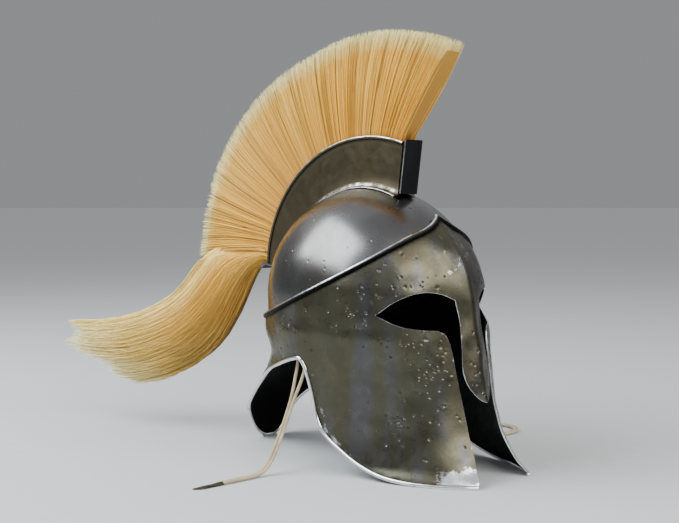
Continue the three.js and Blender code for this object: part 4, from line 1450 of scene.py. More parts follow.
@dataclass
class CrestBox:
    """The box that holds the crest: two side plates with a rolled rim and a foot, a front plate and a lip."""

    form: HeadForm
    half: float = 12.0
    plate: float = 1.5
    foot: tuple[float, float] = (-23.0, 80.0)
    rim: tuple[float, float] = (-18.5, 79.0)
    tall: tuple[float, float] = (55.0, 36.0)
    sink: float = 2.2
    flange: tuple[float, float] = (6.0, 3.0)
    bead: float = 2.0
    bead_at: float = 11.7
    fit: float = 0.4
    steps: int = 72
    # The rear plate's middle line: back, z and half width.
    back: Rows = (
        *((121.6, 193.4, 12), (142, 200, 12), (155.5, 203.4, 12.5)),
        *((162, 203.5, 12), (167, 201.5, 11), (171, 198, 9)),
    )

    # The foot's section from the wall out and back: share of its width, lift, wear, and painted shade by the
    # wall.
    FOOT_UNDER = ((0.0, 0.0, 0.1, 0.0), (0.4, 0.0, 0.1, 0.0), (0.75, 0.0, 0.1, 0.0), (0.95, 0.0, 0.1, 0.0))
    FOOT_LIP = ((1.03, 0.2, 0.6, 0.0), (1.05, 0.6, 1.0, 0.0), (1.0, 1.0, 1.0, 0.0))
    FOOT_TOP = ((0.8, 1.05, 0.3, 0.0), (0.55, 1.25, 0.3, 0.0), (0.35, 1.8, 0.3, 0.1))
    # The wall's section above the foot: share of its height, and painted shade, in the corner by the foot and
    # under the rim.
    WALL = ((0.1, 0.1), (0.3, 0.0), (0.6, 0.0), (0.85, 0.0), (0.93, 0.6))
    RIM_TURNS = (-81, 233, 17)
    # Half of the front plate's ring, as points (x, depth).
    FRONT_EDGE = ((0.99, 0.12), (1.0, 0.3), (1.0, 0.7), (0.99, 0.88))
    FRONT_FLAT = (-0.96, -0.5, 0.0, 0.5, 0.96)
    FRONT_DISHED = (0.96, 0.6, 0.3, 0.0, -0.3, -0.6, -0.96)
    REAR_FLAT = (0.97, 0.5, 0.0, -0.5, -0.97)
    REAR_THICK = 1.6

    def height(self, t: Array) -> Array:
        """Height of the rim over the bowl, t from front to rear."""
        a, b = self.tall
        return a + (b - a) * np.clip(t, 0, 1) ** self.sink

    def foot_at(self, t: Array, lift: Array | float) -> Array:
        """A point of the foot line, lifted off the bowl."""
        return self.form.profile(self.foot[0] + (self.foot[1] - self.foot[0]) * np.asarray(t, float), lift)

    def rim_at(self, t: Array, drop: Array | float) -> Array:
        """A point of the rim line, dropped towards the bowl."""
        t = np.asarray(t, float)
        return self.form.profile(self.rim[0] + (self.rim[1] - self.rim[0]) * t, self.height(t) - drop)

    def side_plate(self, hand: Hand) -> Piece:
        """One side plate with its rolled rim and its foot.

        Args:
            hand: which side.

        Returns:
            The plate.
        """
        form, turn = self.form, hand.value
        t = np.linspace(0, 1, self.steps + 1)
        root = self.half - self.plate / 2
        low, high = self.foot_at(t, self.fit), self.rim_at(t, self.bead)
        up = unit(high - low)
        front, rear = self.flange
        edge = self.half + front + (rear - front) * t
        fall = form.rise * (1 - np.sqrt(1 - (edge / form.side) ** 2))
        rise = np.clip((edge - self.half) / 4, 0, 1)
        rows: list[Array] = [form.upright(low, turn * (self.half - self.plate))]
        worn, grime = [0.0], [0.0]

        def flange(share: float, lift: Array | float, mask: float, painted_shading: float) -> None:
            """Adds a row along the foot."""
            at = self.foot_at(t, self.fit + share * (0.3 - fall) + lift)
            rows.append(form.upright(at, turn * (root + (edge - root) * share)))
            worn.append(mask)
            grime.append(painted_shading)

        for share, lift, mask, painted_shading in self.FOOT_UNDER + self.FOOT_LIP + self.FOOT_TOP:
            flange(share, lift, mask, painted_shading)
        # Painted shade in the corner where the foot meets the wall.
        flange(0.2, 2.9 * rise + 1.2, 0.3, 0.3)
        for v, painted_shading in self.WALL:
            at = low + (high - low) * v
            if v == self.WALL[0][0]:
                at = low + up * (3.4 * rise + 2.2)[:, None]
            rows.append(form.upright(at, turn * self.half))
            worn.append(0.0)
            grime.append(painted_shading)
        # The rim's upper half takes a painted highlight and its underside painted shade.
        for angle in np.linspace(*self.RIM_TURNS):
            sin, cos = math.sin(math.radians(angle)), math.cos(math.radians(angle))
            at = high + up * (self.bead * sin)
            rows.append(form.upright(at, turn * (self.bead_at + self.bead * cos)))
            worn.append(max(0.0, sin) ** 0.7)
            grime.append(0.9 if angle < -50 else 0.0)
        rings = np.stack(rows, axis=1)
        shape = Shape()
        shape.skin(rings, worn=np.array(worn)[None], grime=np.array(grime)[None])
        return shape.build(f"crest_side_{hand.word}_plate", sharp=45)

    def front_plate(self) -> Piece:
        """The front plate: slightly dished, wider than the box and standing over its rim.

        Returns:
            The plate.
        """
        half, thick = self.half + 1.2, 2.0
        low, high = self.foot_at(0, self.fit + 1.5), self.rim_at(0, -2.5)
        run = unit(high - low)
        ahead = np.array([-run[1], run[0]])
        length = np.linalg.norm(high - low)
        ring = [(x, 0.0) for x in self.FRONT_FLAT] + list(self.FRONT_EDGE)
        ring += [(x, 1.0) for x in self.FRONT_DISHED] + [(-x, d) for x, d in self.FRONT_EDGE[::-1]]
        rows = []
        shares = np.concatenate([[0.004, 0.011], np.linspace(0.03, 0.97, 24), [0.989, 0.996]])
        for v in shares:
            pinch = 0.93 if v < 0.006 or v > 0.994 else 1.0
            dish = 1.2 * math.sin(math.pi * v)
            row = []
            for x, d in ring:
                depth = self.fit + self.bead + thick * (0.5 + (d - 0.5) * pinch)
                if d == 1.0:
                    depth -= dish * (1 - x * x)
                at = low + run * length * v + ahead * depth
                row.append(self.form.upright(at, half * x * (0.5 + 0.5 * pinch)))
            rows.append(row)
        worn = np.array([1.0 if 0 < d < 1 else 0.0 for _, d in ring])
        shape = Shape()
        shape.skin(np.array(rows), worn=worn[None] * 0.7)
        return shape.build("crest_front_plate", sharp=35)

    def rear_lip(self) -> Piece:
        """The plate that closes the box behind and runs out as a lip under the tail.

        Returns:
            The plate.
        """
        path = spline(np.array(self.back, float), 40)
        at, half = path[:, :2], path[:, 2]
        run = unit(np.gradient(at, axis=0))
        under = np.stack([run[:, 1], -run[:, 0]], axis=-1)
        ring = [(-x, 0.0) for x in self.REAR_FLAT] + [(1.0, 0.3), (1.0, 1.3)]
        ring += [(x, self.REAR_THICK) for x in self.REAR_FLAT] + [(-1.0, 1.3), (-1.0, 0.3)]
        rows = [self.form.upright(at + under * d, half * x) for x, d in ring]
        shape = Shape()
        worn = np.array([1.0 if abs(x) > 0.9 else 0.0 for x, _ in ring])
        shape.skin(np.stack(rows, axis=1), worn=worn[None])
        return shape.build("crest_rear_lip", sharp=40)

    def build(self, finishes: Finishes) -> None:
        """Makes the box's plates and dresses them.

        Args:
            finishes: the materials.
        """
        for hand in Hand:
            dress(self.side_plate(hand), finishes.crest, (f"crest_side_{hand.word}",))
        dress(self.front_plate(), finishes.black, ("crest_front",))
        dress(self.rear_lip(), finishes.black, ("crest_back",))


# ---- the hair ----


@dataclass(frozen=True)
class Strands:
    """Hair strands that ride on a guide sheet, made by one Geometry Nodes tree."""

    count: int
    radius: float = 0.36
    steps: int = 8
    clumps: int = 60
    pull: float = 0.3
    hold: float = 0.3
    frizz: float = 1.2
    shortest: float = 0.93
    seed: int = 1

    SCRATCH = ("across", "wide", "clump", "row", "reach", "pull")

    @staticmethod
    def tree() -> Tree:
        """Builds the tree: points on the sheet, a line on each, bent by the sheet, then given a body.

        Returns:
            The tree.
        """
        tree = bpy.data.node_groups.new("hair strands", "GeometryNodeTree")
        face = tree.interface
        face.new_socket("Guide", in_out="INPUT", socket_type="NodeSocketGeometry")
        for name in ("Count", "Steps", "Clumps", "Seed"):
            face.new_socket(name, in_out="INPUT", socket_type="NodeSocketInt")
        for name in ("Radius", "Pull", "Hold", "Frizz", "Shortest"):
            face.new_socket(name, in_out="INPUT", socket_type="NodeSocketFloat")
        face.new_socket("Finish", in_out="INPUT", socket_type="NodeSocketMaterial")
        face.new_socket("Strands", in_out="OUTPUT", socket_type="NodeSocketGeometry")
        n = Nodes(tree)
        given = n.new("NodeGroupInput").outputs

        def random(offset: int, low: object, high: object, number: object = None) -> Socket:
            """A random value for each point, or for each number."""
            seed = n.math("ADD", given["Seed"], float(offset))
            node = n.new("FunctionNodeRandomValue", {2: low, 3: high, "Seed": seed}, data_type="FLOAT")
            if number is not None:
                tree.links.new(number, node.inputs["ID"])
            return node.outputs[1]

        def store(geometry: object, name: str, value: object) -> Socket:
            """Keeps a value on the points."""
            kind = "GeometryNodeStoreNamedAttribute"
            node = n.new(kind, {"Geometry": geometry, "Name": name}, data_type="FLOAT", domain="POINT")
            tree.links.new(value, node.inputs["Value"])
            return node.outputs[0]

        def read(name: str, kind: str = "FLOAT") -> Socket:
            """Reads a kept value."""
            return n.new("GeometryNodeInputNamedAttribute", {"Name": name}, data_type=kind).outputs[0]

        points = n.new("GeometryNodePoints", {"Count": given["Count"]}).outputs[0]
        across = random(0, 0.0, 1.0)
        wide = random(1, -1.0, 1.0)
        wide = n.math("MULTIPLY", n.math("SIGN", wide), n.math("POWER", n.math("ABSOLUTE", wide), 0.5))
        cell = n.math("FLOOR", n.math("MULTIPLY", across, given["Clumps"]))
        lane = n.math("FLOOR", n.math("MULTIPLY", n.math("ADD", wide, 1.0), 1.999))
        number = n.math("MULTIPLY_ADD", cell, 4.0, lane)
        jitter = random(2, 0.25, 0.75, number)
        clump = n.math("DIVIDE", n.math("ADD", cell, jitter), given["Clumps"])
        row = n.math("SUBTRACT", n.math("DIVIDE", n.math("ADD", lane, 0.5), 2.0), 1.0)
        for name, value in (
            ("across", across), ("wide", wide), ("clump", clump), ("row", row),
            ("reach", random(3, given["Shortest"], 1.0)), ("strand_tone", random(4, 0.0, 1.0)),
            ("pull", random(5, given["Hold"], 1.0)),
        ):
            points = store(points, name, value)
        line = n.new("GeometryNodeCurvePrimitiveLine")
        line = n.new("GeometryNodeResampleCurve", {"Curve": line.outputs[0], "Count": given["Steps"]})
        hairs = n.new("GeometryNodeInstanceOnPoints", {"Points": points, "Instance": line.outputs[0]})
        hairs = n.new("GeometryNodeRealizeInstances", {"Geometry": hairs.outputs[0]})
        share = n.new("GeometryNodeSplineParameter").outputs["Factor"]
        along = n.math("MULTIPLY", share, read("reach"))
        pull = n.math("MULTIPLY", n.math("POWER", along, 2.0), given["Pull"])
        pull = n.math("MULTIPLY", pull, read("pull"))

        def pulled(free: str, held: str) -> Socket:
            """A strand's own value, drawn towards its lock's."""
            return n.math("MULTIPLY_ADD", n.math("SUBTRACT", read(held), read(free)), pull, read(free))

        at = n.new("ShaderNodeCombineXYZ", {0: pulled("across", "clump"), 1: along}).outputs[0]
        uv = read("guide", "FLOAT_VECTOR")
        place, sideways = (
            n.new(
                "GeometryNodeSampleUVSurface",
                {"Mesh": given["Guide"], "Value": value, "UV Map": uv, "Sample UV": at},
                data_type="FLOAT_VECTOR",
            ).outputs[0]
            for value in (n.new("GeometryNodeInputPosition").outputs[0], read("sideways", "FLOAT_VECTOR"))
        )
        place = n.vector("ADD", place, n.vector("SCALE", sideways, None, pulled("wide", "row")))
        own = n.new("ShaderNodeCombineXYZ", {2: n.math("MULTIPLY", read("strand_tone"), 40.0)}).outputs[0]
        field_at = n.vector("ADD", n.vector("SCALE", place, None, 22.0), own)
        inputs = {"Vector": field_at, "Scale": 1.0, "Detail": 2.0}
        noise = n.new("ShaderNodeTexNoise", inputs).outputs["Color"]
        loose = n.math("MULTIPLY", n.math("POWER", along, 1.5), given["Frizz"])
        stray = n.vector("SCALE", n.vector("SUBTRACT", noise, (0.5, 0.5, 0.5)), None, loose)
        inputs = {"Geometry": hairs.outputs[0], "Position": n.vector("ADD", place, stray)}
        moved = n.new("GeometryNodeSetPosition", inputs)
        kept = store(moved.outputs[0], "strand_along", along)
        kept = store(kept, "strand_across", pulled("across", "clump"))
        taper = n.math("MULTIPLY_ADD", n.math("POWER", share, 3.0), -0.6, 1.0)
        ring = n.new("GeometryNodeCurvePrimitiveCircle", {"Resolution": 3, "Radius": 1.0})
        body = n.new(
            "GeometryNodeCurveToMesh",
            {
                "Curve": kept,
                "Profile Curve": ring.outputs[0],
                "Scale": n.math("MULTIPLY", taper, given["Radius"]),
                "Fill Caps": True,
            },
        )
        soft = n.new("GeometryNodeSetShadeSmooth", {"Geometry": body.outputs[0]})
        real = n.new("GeometryNodeRealizeInstances", {"Geometry": soft.outputs[0]})
        done = n.new("GeometryNodeSetMaterial", {"Geometry": real.outputs[0], "Material": given["Finish"]})
        n.new("NodeGroupOutput", {0: done.outputs[0]})
        return tree

    def grow(
        self, name: str, guide: Piece, tree: Tree, finish: Finish
    ) -> Piece:
        """Grows strands on a guide sheet and makes them a plain mesh.

        Args:
            name: the new piece's name.
            guide: the sheet, with its UV map "guide" and its attribute "sideways".
            tree: the tree from tree().
            finish: the strands' material.

        Returns:
            The piece.
        """
        modifier = guide.modifiers.new("strands", "NODES")
        modifier.node_group = tree
        values = {
            "Count": self.count, "Steps": self.steps, "Clumps": self.clumps, "Seed": self.seed,
            "Radius": self.radius * MM, "Pull": self.pull, "Hold": self.hold, "Frizz": self.frizz * MM,
            "Shortest": self.shortest, "Finish": finish,
        }
        for item in tree.interface.items_tree:
            if item.in_out == "INPUT" and item.name in values:
                modifier[item.identifier] = values[item.name]
        graph = bpy.context.evaluated_depsgraph_get()
        graph.update()
        mesh = bpy.data.meshes.new_from_object(guide.evaluated_get(graph))
        guide.modifiers.remove(modifier)
        for extra in self.SCRATCH:
            if extra in mesh.attributes:
                mesh.attributes.remove(mesh.attributes[extra])
        mesh.name = name
        piece = bpy.data.objects.new(name, mesh)
        bpy.context.scene.collection.objects.link(piece)
        return piece


def guide_sheet(name: str, points: Array, sideways: Array) -> Piece:
    """A sheet for strands to ride on.

    Args:
        name: the object's name.
        points: rows across the hair by columns along it, in millimetres.
        sideways: for each point, the vector from the sheet to the hair's face.

    Returns:
        An object that isn't a piece; it is removed once the strands have grown.
    """
    m, n = points.shape[:2]
    mesh = bpy.data.meshes.new(name)
    first = [i * n + j for i in range(m - 1) for j in range(n - 1)]
    faces = [(k, k + n, k + n + 1, k + 1) for k in first]
    mesh.from_pydata((points.reshape(-1, 3) * MM).tolist(), [], faces)
    layer = mesh.attributes.new("sideways", "FLOAT_VECTOR", "POINT")
    layer.data.foreach_set("vector", (sideways * MM).astype(np.float32).ravel())
    uv = mesh.uv_layers.new(name="guide")
    corners = np.zeros(len(mesh.loops), int)
    mesh.loops.foreach_get("vertex_index", corners)
    flat = np.stack([corners // n / (m - 1), corners % n / (n - 1)], axis=-1)
    uv.data.foreach_set("uv", flat.astype(np.float32).ravel())
    sheet = bpy.data.objects.new(name, mesh)
    bpy.context.scene.collection.objects.link(sheet)
    return sheet


@dataclass
class CrestHair:
    """The stiff fan of horsehair that stands in the box."""

    box: CrestBox
    front: float = 118.0
    top: float = 106.0
    rear: float = 130.0
    lean: float = 20.0
    droop: float = 15.0
    sag: float = 13.0
    first: float = 0.02
    last: float = 0.95
    rooted: float = 8.0
    # Share of the way from root to tip, and the half width there.
    widths: Rows = ((0, 9.8), (0.05, 10.0), (0.3, 13.0), (0.62, 15.0), (0.9, 14.0), (1, 12.5))
    strands: Strands = Strands(3200, clumps=34, pull=0.3, hold=0.3, frizz=3.2, shortest=0.94, seed=11)

    CORE = (60, 9)
    CORE_SHORT = 0.1
    CORE_WIDE = 0.8
    GUIDE = (60, 26)

    def direction(self, t: Array) -> Array:
        """The way that the hair points, in the middle plane.

        Args:
            t: the way along the rim, from 0 in front to 1.

        Returns:
            An array of (back, z), one long.
        """
        low, high = self.box.rim
        degrees = low + (high - low) * t
        forward = self.lean * ((high - degrees) / (high - low)) ** 2
        back = self.droop * np.clip((t - 0.5) / 0.43, 0, 1) ** 2
        lean = np.radians(degrees - forward + back)
        return np.stack([np.sin(lean), np.cos(lean)], axis=-1)

    def length(self, t: Array) -> Array:
        """The hair's length beyond the rim.

        Args:
            t: the way along the rim, from 0 in front to 1.

        Returns:
            The lengths.
        """
        ahead = self.top + (self.front - self.top) * (1 - t / 0.4)
        behind = self.top + (self.rear - self.top) * (t - 0.4) / 0.6
        return np.where(t < 0.4, ahead, behind)

    def sheet_points(self, rows: int, columns: int, spare: float = 0.0) -> tuple[Array, Array]:
        """Points in the middle plane from the roots to the tips, and how wide the hair is at each.

        Args:
            rows: points from front to rear.
            columns: points from root to tip.
            spare: how much shorter than the hair the sheet is, as a share.

        Returns:
            The points and the half widths.
        """
        t = np.linspace(self.first, self.last, rows)[:, None]
        v = np.linspace(0, 1, columns)[None, :]
        full = self.length(t) * (1 - spare)
        far = -self.rooted + (full + self.rooted) * v
        out = np.maximum(0, far)
        at = self.box.rim_at(t + 0 * v, np.maximum(0, -far)) + self.direction(t)[...] * out[..., None]
        at[..., 1] -= self.sag * smooth((t - 0.8) / (self.last - 0.8)) * (out / self.rear) ** 2.2
        half = hermite(np.array(self.widths, float), v + 0 * t, 1)
        return self.box.form.upright(at, 0.0), half

    def core(self) -> Piece:
        """The dense hair inside the fan, in the darkest tone as painted shade.

        Returns:
            The core.
        """
        rows, columns = self.CORE
        points, half = self.sheet_points(rows, columns, self.CORE_SHORT)
        side = np.zeros_like(points)
        side[..., 0] = half * self.CORE_WIDE
        rings = np.concatenate([points + side, (points - side)[:, ::-1]], axis=1)
        shape = Shape()
        along = np.linspace(0, 0.85, columns)
        along = np.concatenate([along, along[::-1]])
        across = np.linspace(0, 1, rows)[:, None]
        # Painted shade: the darkest tone and the root end's colours, for the shadow inside the fan.
        shape.skin(rings, strand_along=along[None] * 0.6, strand_across=across, strand_tone=1.0)
        return shape.build("crest_hair_core", sharp=70)

    def build(self, tree: Tree, finishes: Finishes) -> None:
        """Grows the fan in three lengths, from front to rear.

        Args:
            tree: the strand tree.
            finishes: the materials.
        """
        dress(self.core(), finishes.hair, ("crest_hair",))
        words = ("front", "top", "rear")
        rows, columns = self.GUIDE
        points, half = self.sheet_points(rows * len(words) + 1, columns)
        side = np.zeros((*half.shape, 3))
        side[..., 0] = half
        for i, word in enumerate(words):
            part = slice(rows * i, rows * (i + 1) + 1)
            guide = guide_sheet(f"crest_guide_{word}", points[part], side[part].reshape(-1, 3))
            strands = replace(self.strands, seed=self.strands.seed + i)
            piece = strands.grow(f"crest_hair_{word}", guide, tree, finishes.hair)
            bpy.data.objects.remove(guide)
            dress(piece, finishes.hair)


@dataclass
class HairTail:
    """The long tail that bends out of the crest's rear end and sweeps to the wearer's right.

    A row of the table holds a share of the way to the tip, the lower edge's place (back and z), the upper
    edge's, and the half width.
    """

    form: HeadForm
    rows: Rows = (
        *((0, 140, 201.6, 140, 216.2, 8.5), (0.04, 157, 206.2, 157, 221.4, 9)),
        *((0.1, 173, 204.4, 180, 222.4, 10.5), (0.16, 187, 190.8, 204, 223, 12.5)),
        (0.22, 198.7, 172.3, 228, 222.6, 14),
        *((0.28, 209, 153.5, 246, 218.8, 15), (0.34, 220, 134.9, 257.5, 209, 15.5)),
        *((0.4, 231.3, 117.3, 266.5, 196, 15.5), (0.46, 242.4, 102.2, 275.4, 181, 15.5)),
        *((0.52, 253.3, 90.9, 285, 167, 15), (0.58, 265.7, 78.3, 298, 155, 15)),
        *((0.64, 279.1, 69.4, 315, 145, 14.5), (0.7, 294.8, 60.3, 334, 136.6, 14)),
        *((0.77, 317.5, 53.2, 357, 130.6, 13), (0.84, 341, 50.5, 381, 127.4, 12)),
        *((0.92, 368, 54, 410, 127, 10), (1, 405, 60, 454, 122, 7)),
    )
    # How far the tail has swept to the side at a distance back.
    sway: Rows = (
        *((205, 0), (228, -4), (246, -12), (266, -26), (291, -44)),
        *((318, -60), (358, -82), (405, -98), (440, -102.5), (460, -103.5)),
    )
    # Up from the lower edge at -1 to the upper at 1, and the share of the way that the hair there reaches.
    reaches: Rows = (
        *((-1, 0.83), (-0.75, 0.88), (-0.45, 0.9), (-0.1, 0.97)),
        *((0.25, 1.0), (0.6, 0.95), (1, 0.97)),
    )
    loose: Strands = Strands(2150, 0.4, 12, clumps=9, pull=0.9, hold=0.5, frizz=16.0, shortest=0.74)
    bound: Strands = Strands(750, 0.4, 12, clumps=12, pull=0.5, hold=0.3, frizz=9.0, shortest=0.6)

    GUIDE = (25, 70)
    JOINT_GUIDE = (9, 50)
    JOINT_WIDE = (11.5, 5.0)
    JOINT_END = (0.36, 0.46, 0.56, 0.68)
    CORE = (13, 40)
    CORE_BAND = (-0.86, 0.86)
    CORE_REACH = 0.8
    CORE_WIDE = (0.8, 0.35)
    SEED = 31
    # Where the joint's hair starts: a column of the fan's rear end, and the share of the way along the tail.
    JOINT = ((1, 0.05), (4, 0.14), (7, 0.24))

    @property
    def table(self) -> Array:
        """The rows as an array."""
        return np.array(self.rows, float)

    def at(self, share: Array, up: Array) -> Array:
        """Places in the tail's middle plane: share of the way to the tip, up from -1 to 1.

        Args:
            share: the way to the tip.
            up: from the lower edge at -1 to the upper at 1.

        Returns:
            An array of points.
        """
        low_back, low_z, high_back, high_z = (hermite(self.table, share, column) for column in range(1, 5))
        back = low_back + (high_back - low_back) * (up + 1) / 2
        z = low_z + (high_z - low_z) * (up + 1) / 2
        return self.form.place(hermite(np.array(self.sway, float), back, 1), -back, z)

    def sheet_points(self, rows: int, columns: int, band: Span, reach: float = 1.0) -> tuple[Array, Array]:
        """Points from the tail's lower edge to its upper one by root to tip, and the way to its faces.

        Args:
            rows: points from the lower edge to the upper.
            columns: points from root to tip.
            band: the part of the tail to cover, up from -1 to 1.
            reach: the share of the hair's length to cover.

        Returns:
            The points, and for each the vector from the middle to the tail's face.
        """
        up = np.linspace(*band, rows)[:, None]
        share = np.linspace(0, 1, columns)[None, :] * hermite(np.array(self.reaches, float), up, 1) * reach
        points = self.at(share, up)
        ahead = unit(self.at(share + 0.01, up) - self.at(share - 0.01, up))
        left = unit(np.stack([ahead[..., 1], -ahead[..., 0], 0 * share], axis=-1))
        wide = hermite(self.table, share, 5) * np.sqrt(np.maximum(0.05, 1 - up * up))
        return points, left * wide[..., None]

    def joint_points(self, crest: CrestHair, rows: int, columns: int) -> tuple[Array, Array]:
        """Points of the hair that leaves the fan's rear end and bends down along the tail's upper side.

        Args:
            crest: the fan.
            rows: points down from the fan's hair to the tail's.
            columns: points from root to tip.

        Returns:
            The points, and for each the vector from the middle to the hair's face.
        """
        fan = crest.sheet_points(2, 11)[0][-1]
        lines = []
        for low in np.linspace(0, 1, rows):
            roots = [(fan[k], self.at(np.array(share), np.array(0.95))) for k, share in self.JOINT]
            start = [high + (root - high) * low for high, root in roots]
            finish = [self.at(np.array(share), np.array(1.02 - 0.45 * low)) for share in self.JOINT_END]
            lines.append(spline(np.array(start + finish), columns - 1))
        points = np.array(lines)
        ahead = unit(np.gradient(points, axis=1))
        left = unit(np.stack([ahead[..., 1], -ahead[..., 0], 0 * ahead[..., 0]], axis=-1))
        return points, left * np.linspace(*self.JOINT_WIDE, columns)[None, :, None]

    def core(self) -> Piece:
        """The dense hair inside the tail, in a dark tone as painted shade.

        Returns:
            The core.
        """
        rows, columns = self.CORE
        points, side = self.sheet_points(rows, columns, self.CORE_BAND, self.CORE_REACH)
        points, side = points.transpose(1, 0, 2), side.transpose(1, 0, 2)
        side = side * np.linspace(*self.CORE_WIDE, columns)[:, None, None]
        rings = np.concatenate([points + side, (points - side)[:, ::-1]], axis=1)
        shape = Shape()
        across = np.linspace(0.07, 0.93, rows)
        across = np.concatenate([across, across[::-1]])
        along = np.linspace(0, 0.8, columns)[:, None]
        # Painted shade: a dark tone and the colours short of the tip, for the shadow inside the tail.
        shape.skin(rings, strand_along=along, strand_across=across[None], strand_tone=0.8)
        return shape.build("tail_core", sharp=80)

    def build(self, crest: CrestHair, tree: Tree, finishes: Finishes) -> None:
        """Grows the tail's strands over its core: the lower half, the upper, and the joint with the fan.

        Args:
            crest: the fan.
            tree: the strand tree.
            finishes: the materials.
        """
        dress(self.core(), finishes.tail, ("crest_tail",))
        parts = (
            ("lower", self.sheet_points(*self.GUIDE, (-1.0, 0.0)), self.loose, (0.0, 0.5)),
            ("upper", self.sheet_points(*self.GUIDE, (0.0, 1.0)), self.loose, (0.5, 1.0)),
            ("joint", self.joint_points(crest, *self.JOINT_GUIDE), self.bound, (0.9, 0.5)),
        )
        for i, (word, (points, side), strands, (first, last)) in enumerate(parts):
            guide = guide_sheet(f"tail_guide_{word}", points, side.reshape(-1, 3))
            piece = replace(strands, seed=self.SEED + i).grow(f"tail_hair_{word}", guide, tree, finishes.tail)
            bpy.data.objects.remove(guide)
            spread = piece.data.attributes["strand_across"].data
            across = np.empty(len(spread), np.float32)
            spread.foreach_get("value", across)
            spread.foreach_set("value", first + (last - first) * across)
            dress(piece, finishes.tail)


# ---- the chin ties ----

APART = 2.0
# Each tie's route, side, front and z, and each cord's own distance from it.
RIGHT_TIE = (
    *((-91.5, -13, 117.4, 5.6), (-91.8, -13, 110, 6.6), (-92.8, -13.2, 102, 7), (-95, -13.6, 94, 6)),
    *((-98.6, -14, 84, 4.2), (-103, -14.4, 73, 2.6), (-108.4, -14.6, 60.5, APART)),
    *((-114, -14.6, 48.5, APART), (-120, -14.4, 37, APART), (-126.6, -14, 25.5, APART)),
    *((-134, -13.5, 14.5, APART), (-145, -12.8, 5.6, APART), (-156, -12.3, 2.7, APART)),
    *((-167, -12, 2, APART), (-177, -12, 2, APART), (-187, -12.3, 2, APART), (-197, -13, 2, APART)),
)
LEFT_TIE = (
    *((91.5, -13, 117.4, 5.6), (92, -13, 108, 6.4), (94.5, -13.4, 96, 5.6), (100, -13, 80, 3.6)),
    *((107, -10.5, 63, APART), (115.5, -7, 46, APART), (125.5, -2, 29, APART), (137, 4.5, 14.5, APART)),
    *((150, 12.5, 5.5, APART), (163, 20, 2.6, APART), (180, 28.5, 2, APART), (198, 33, 2, APART)),
    *((216, 31, 2, APART), (230, 22, 2, APART), (237, 8, 2, APART), (238, -4, 2, APART)),
)


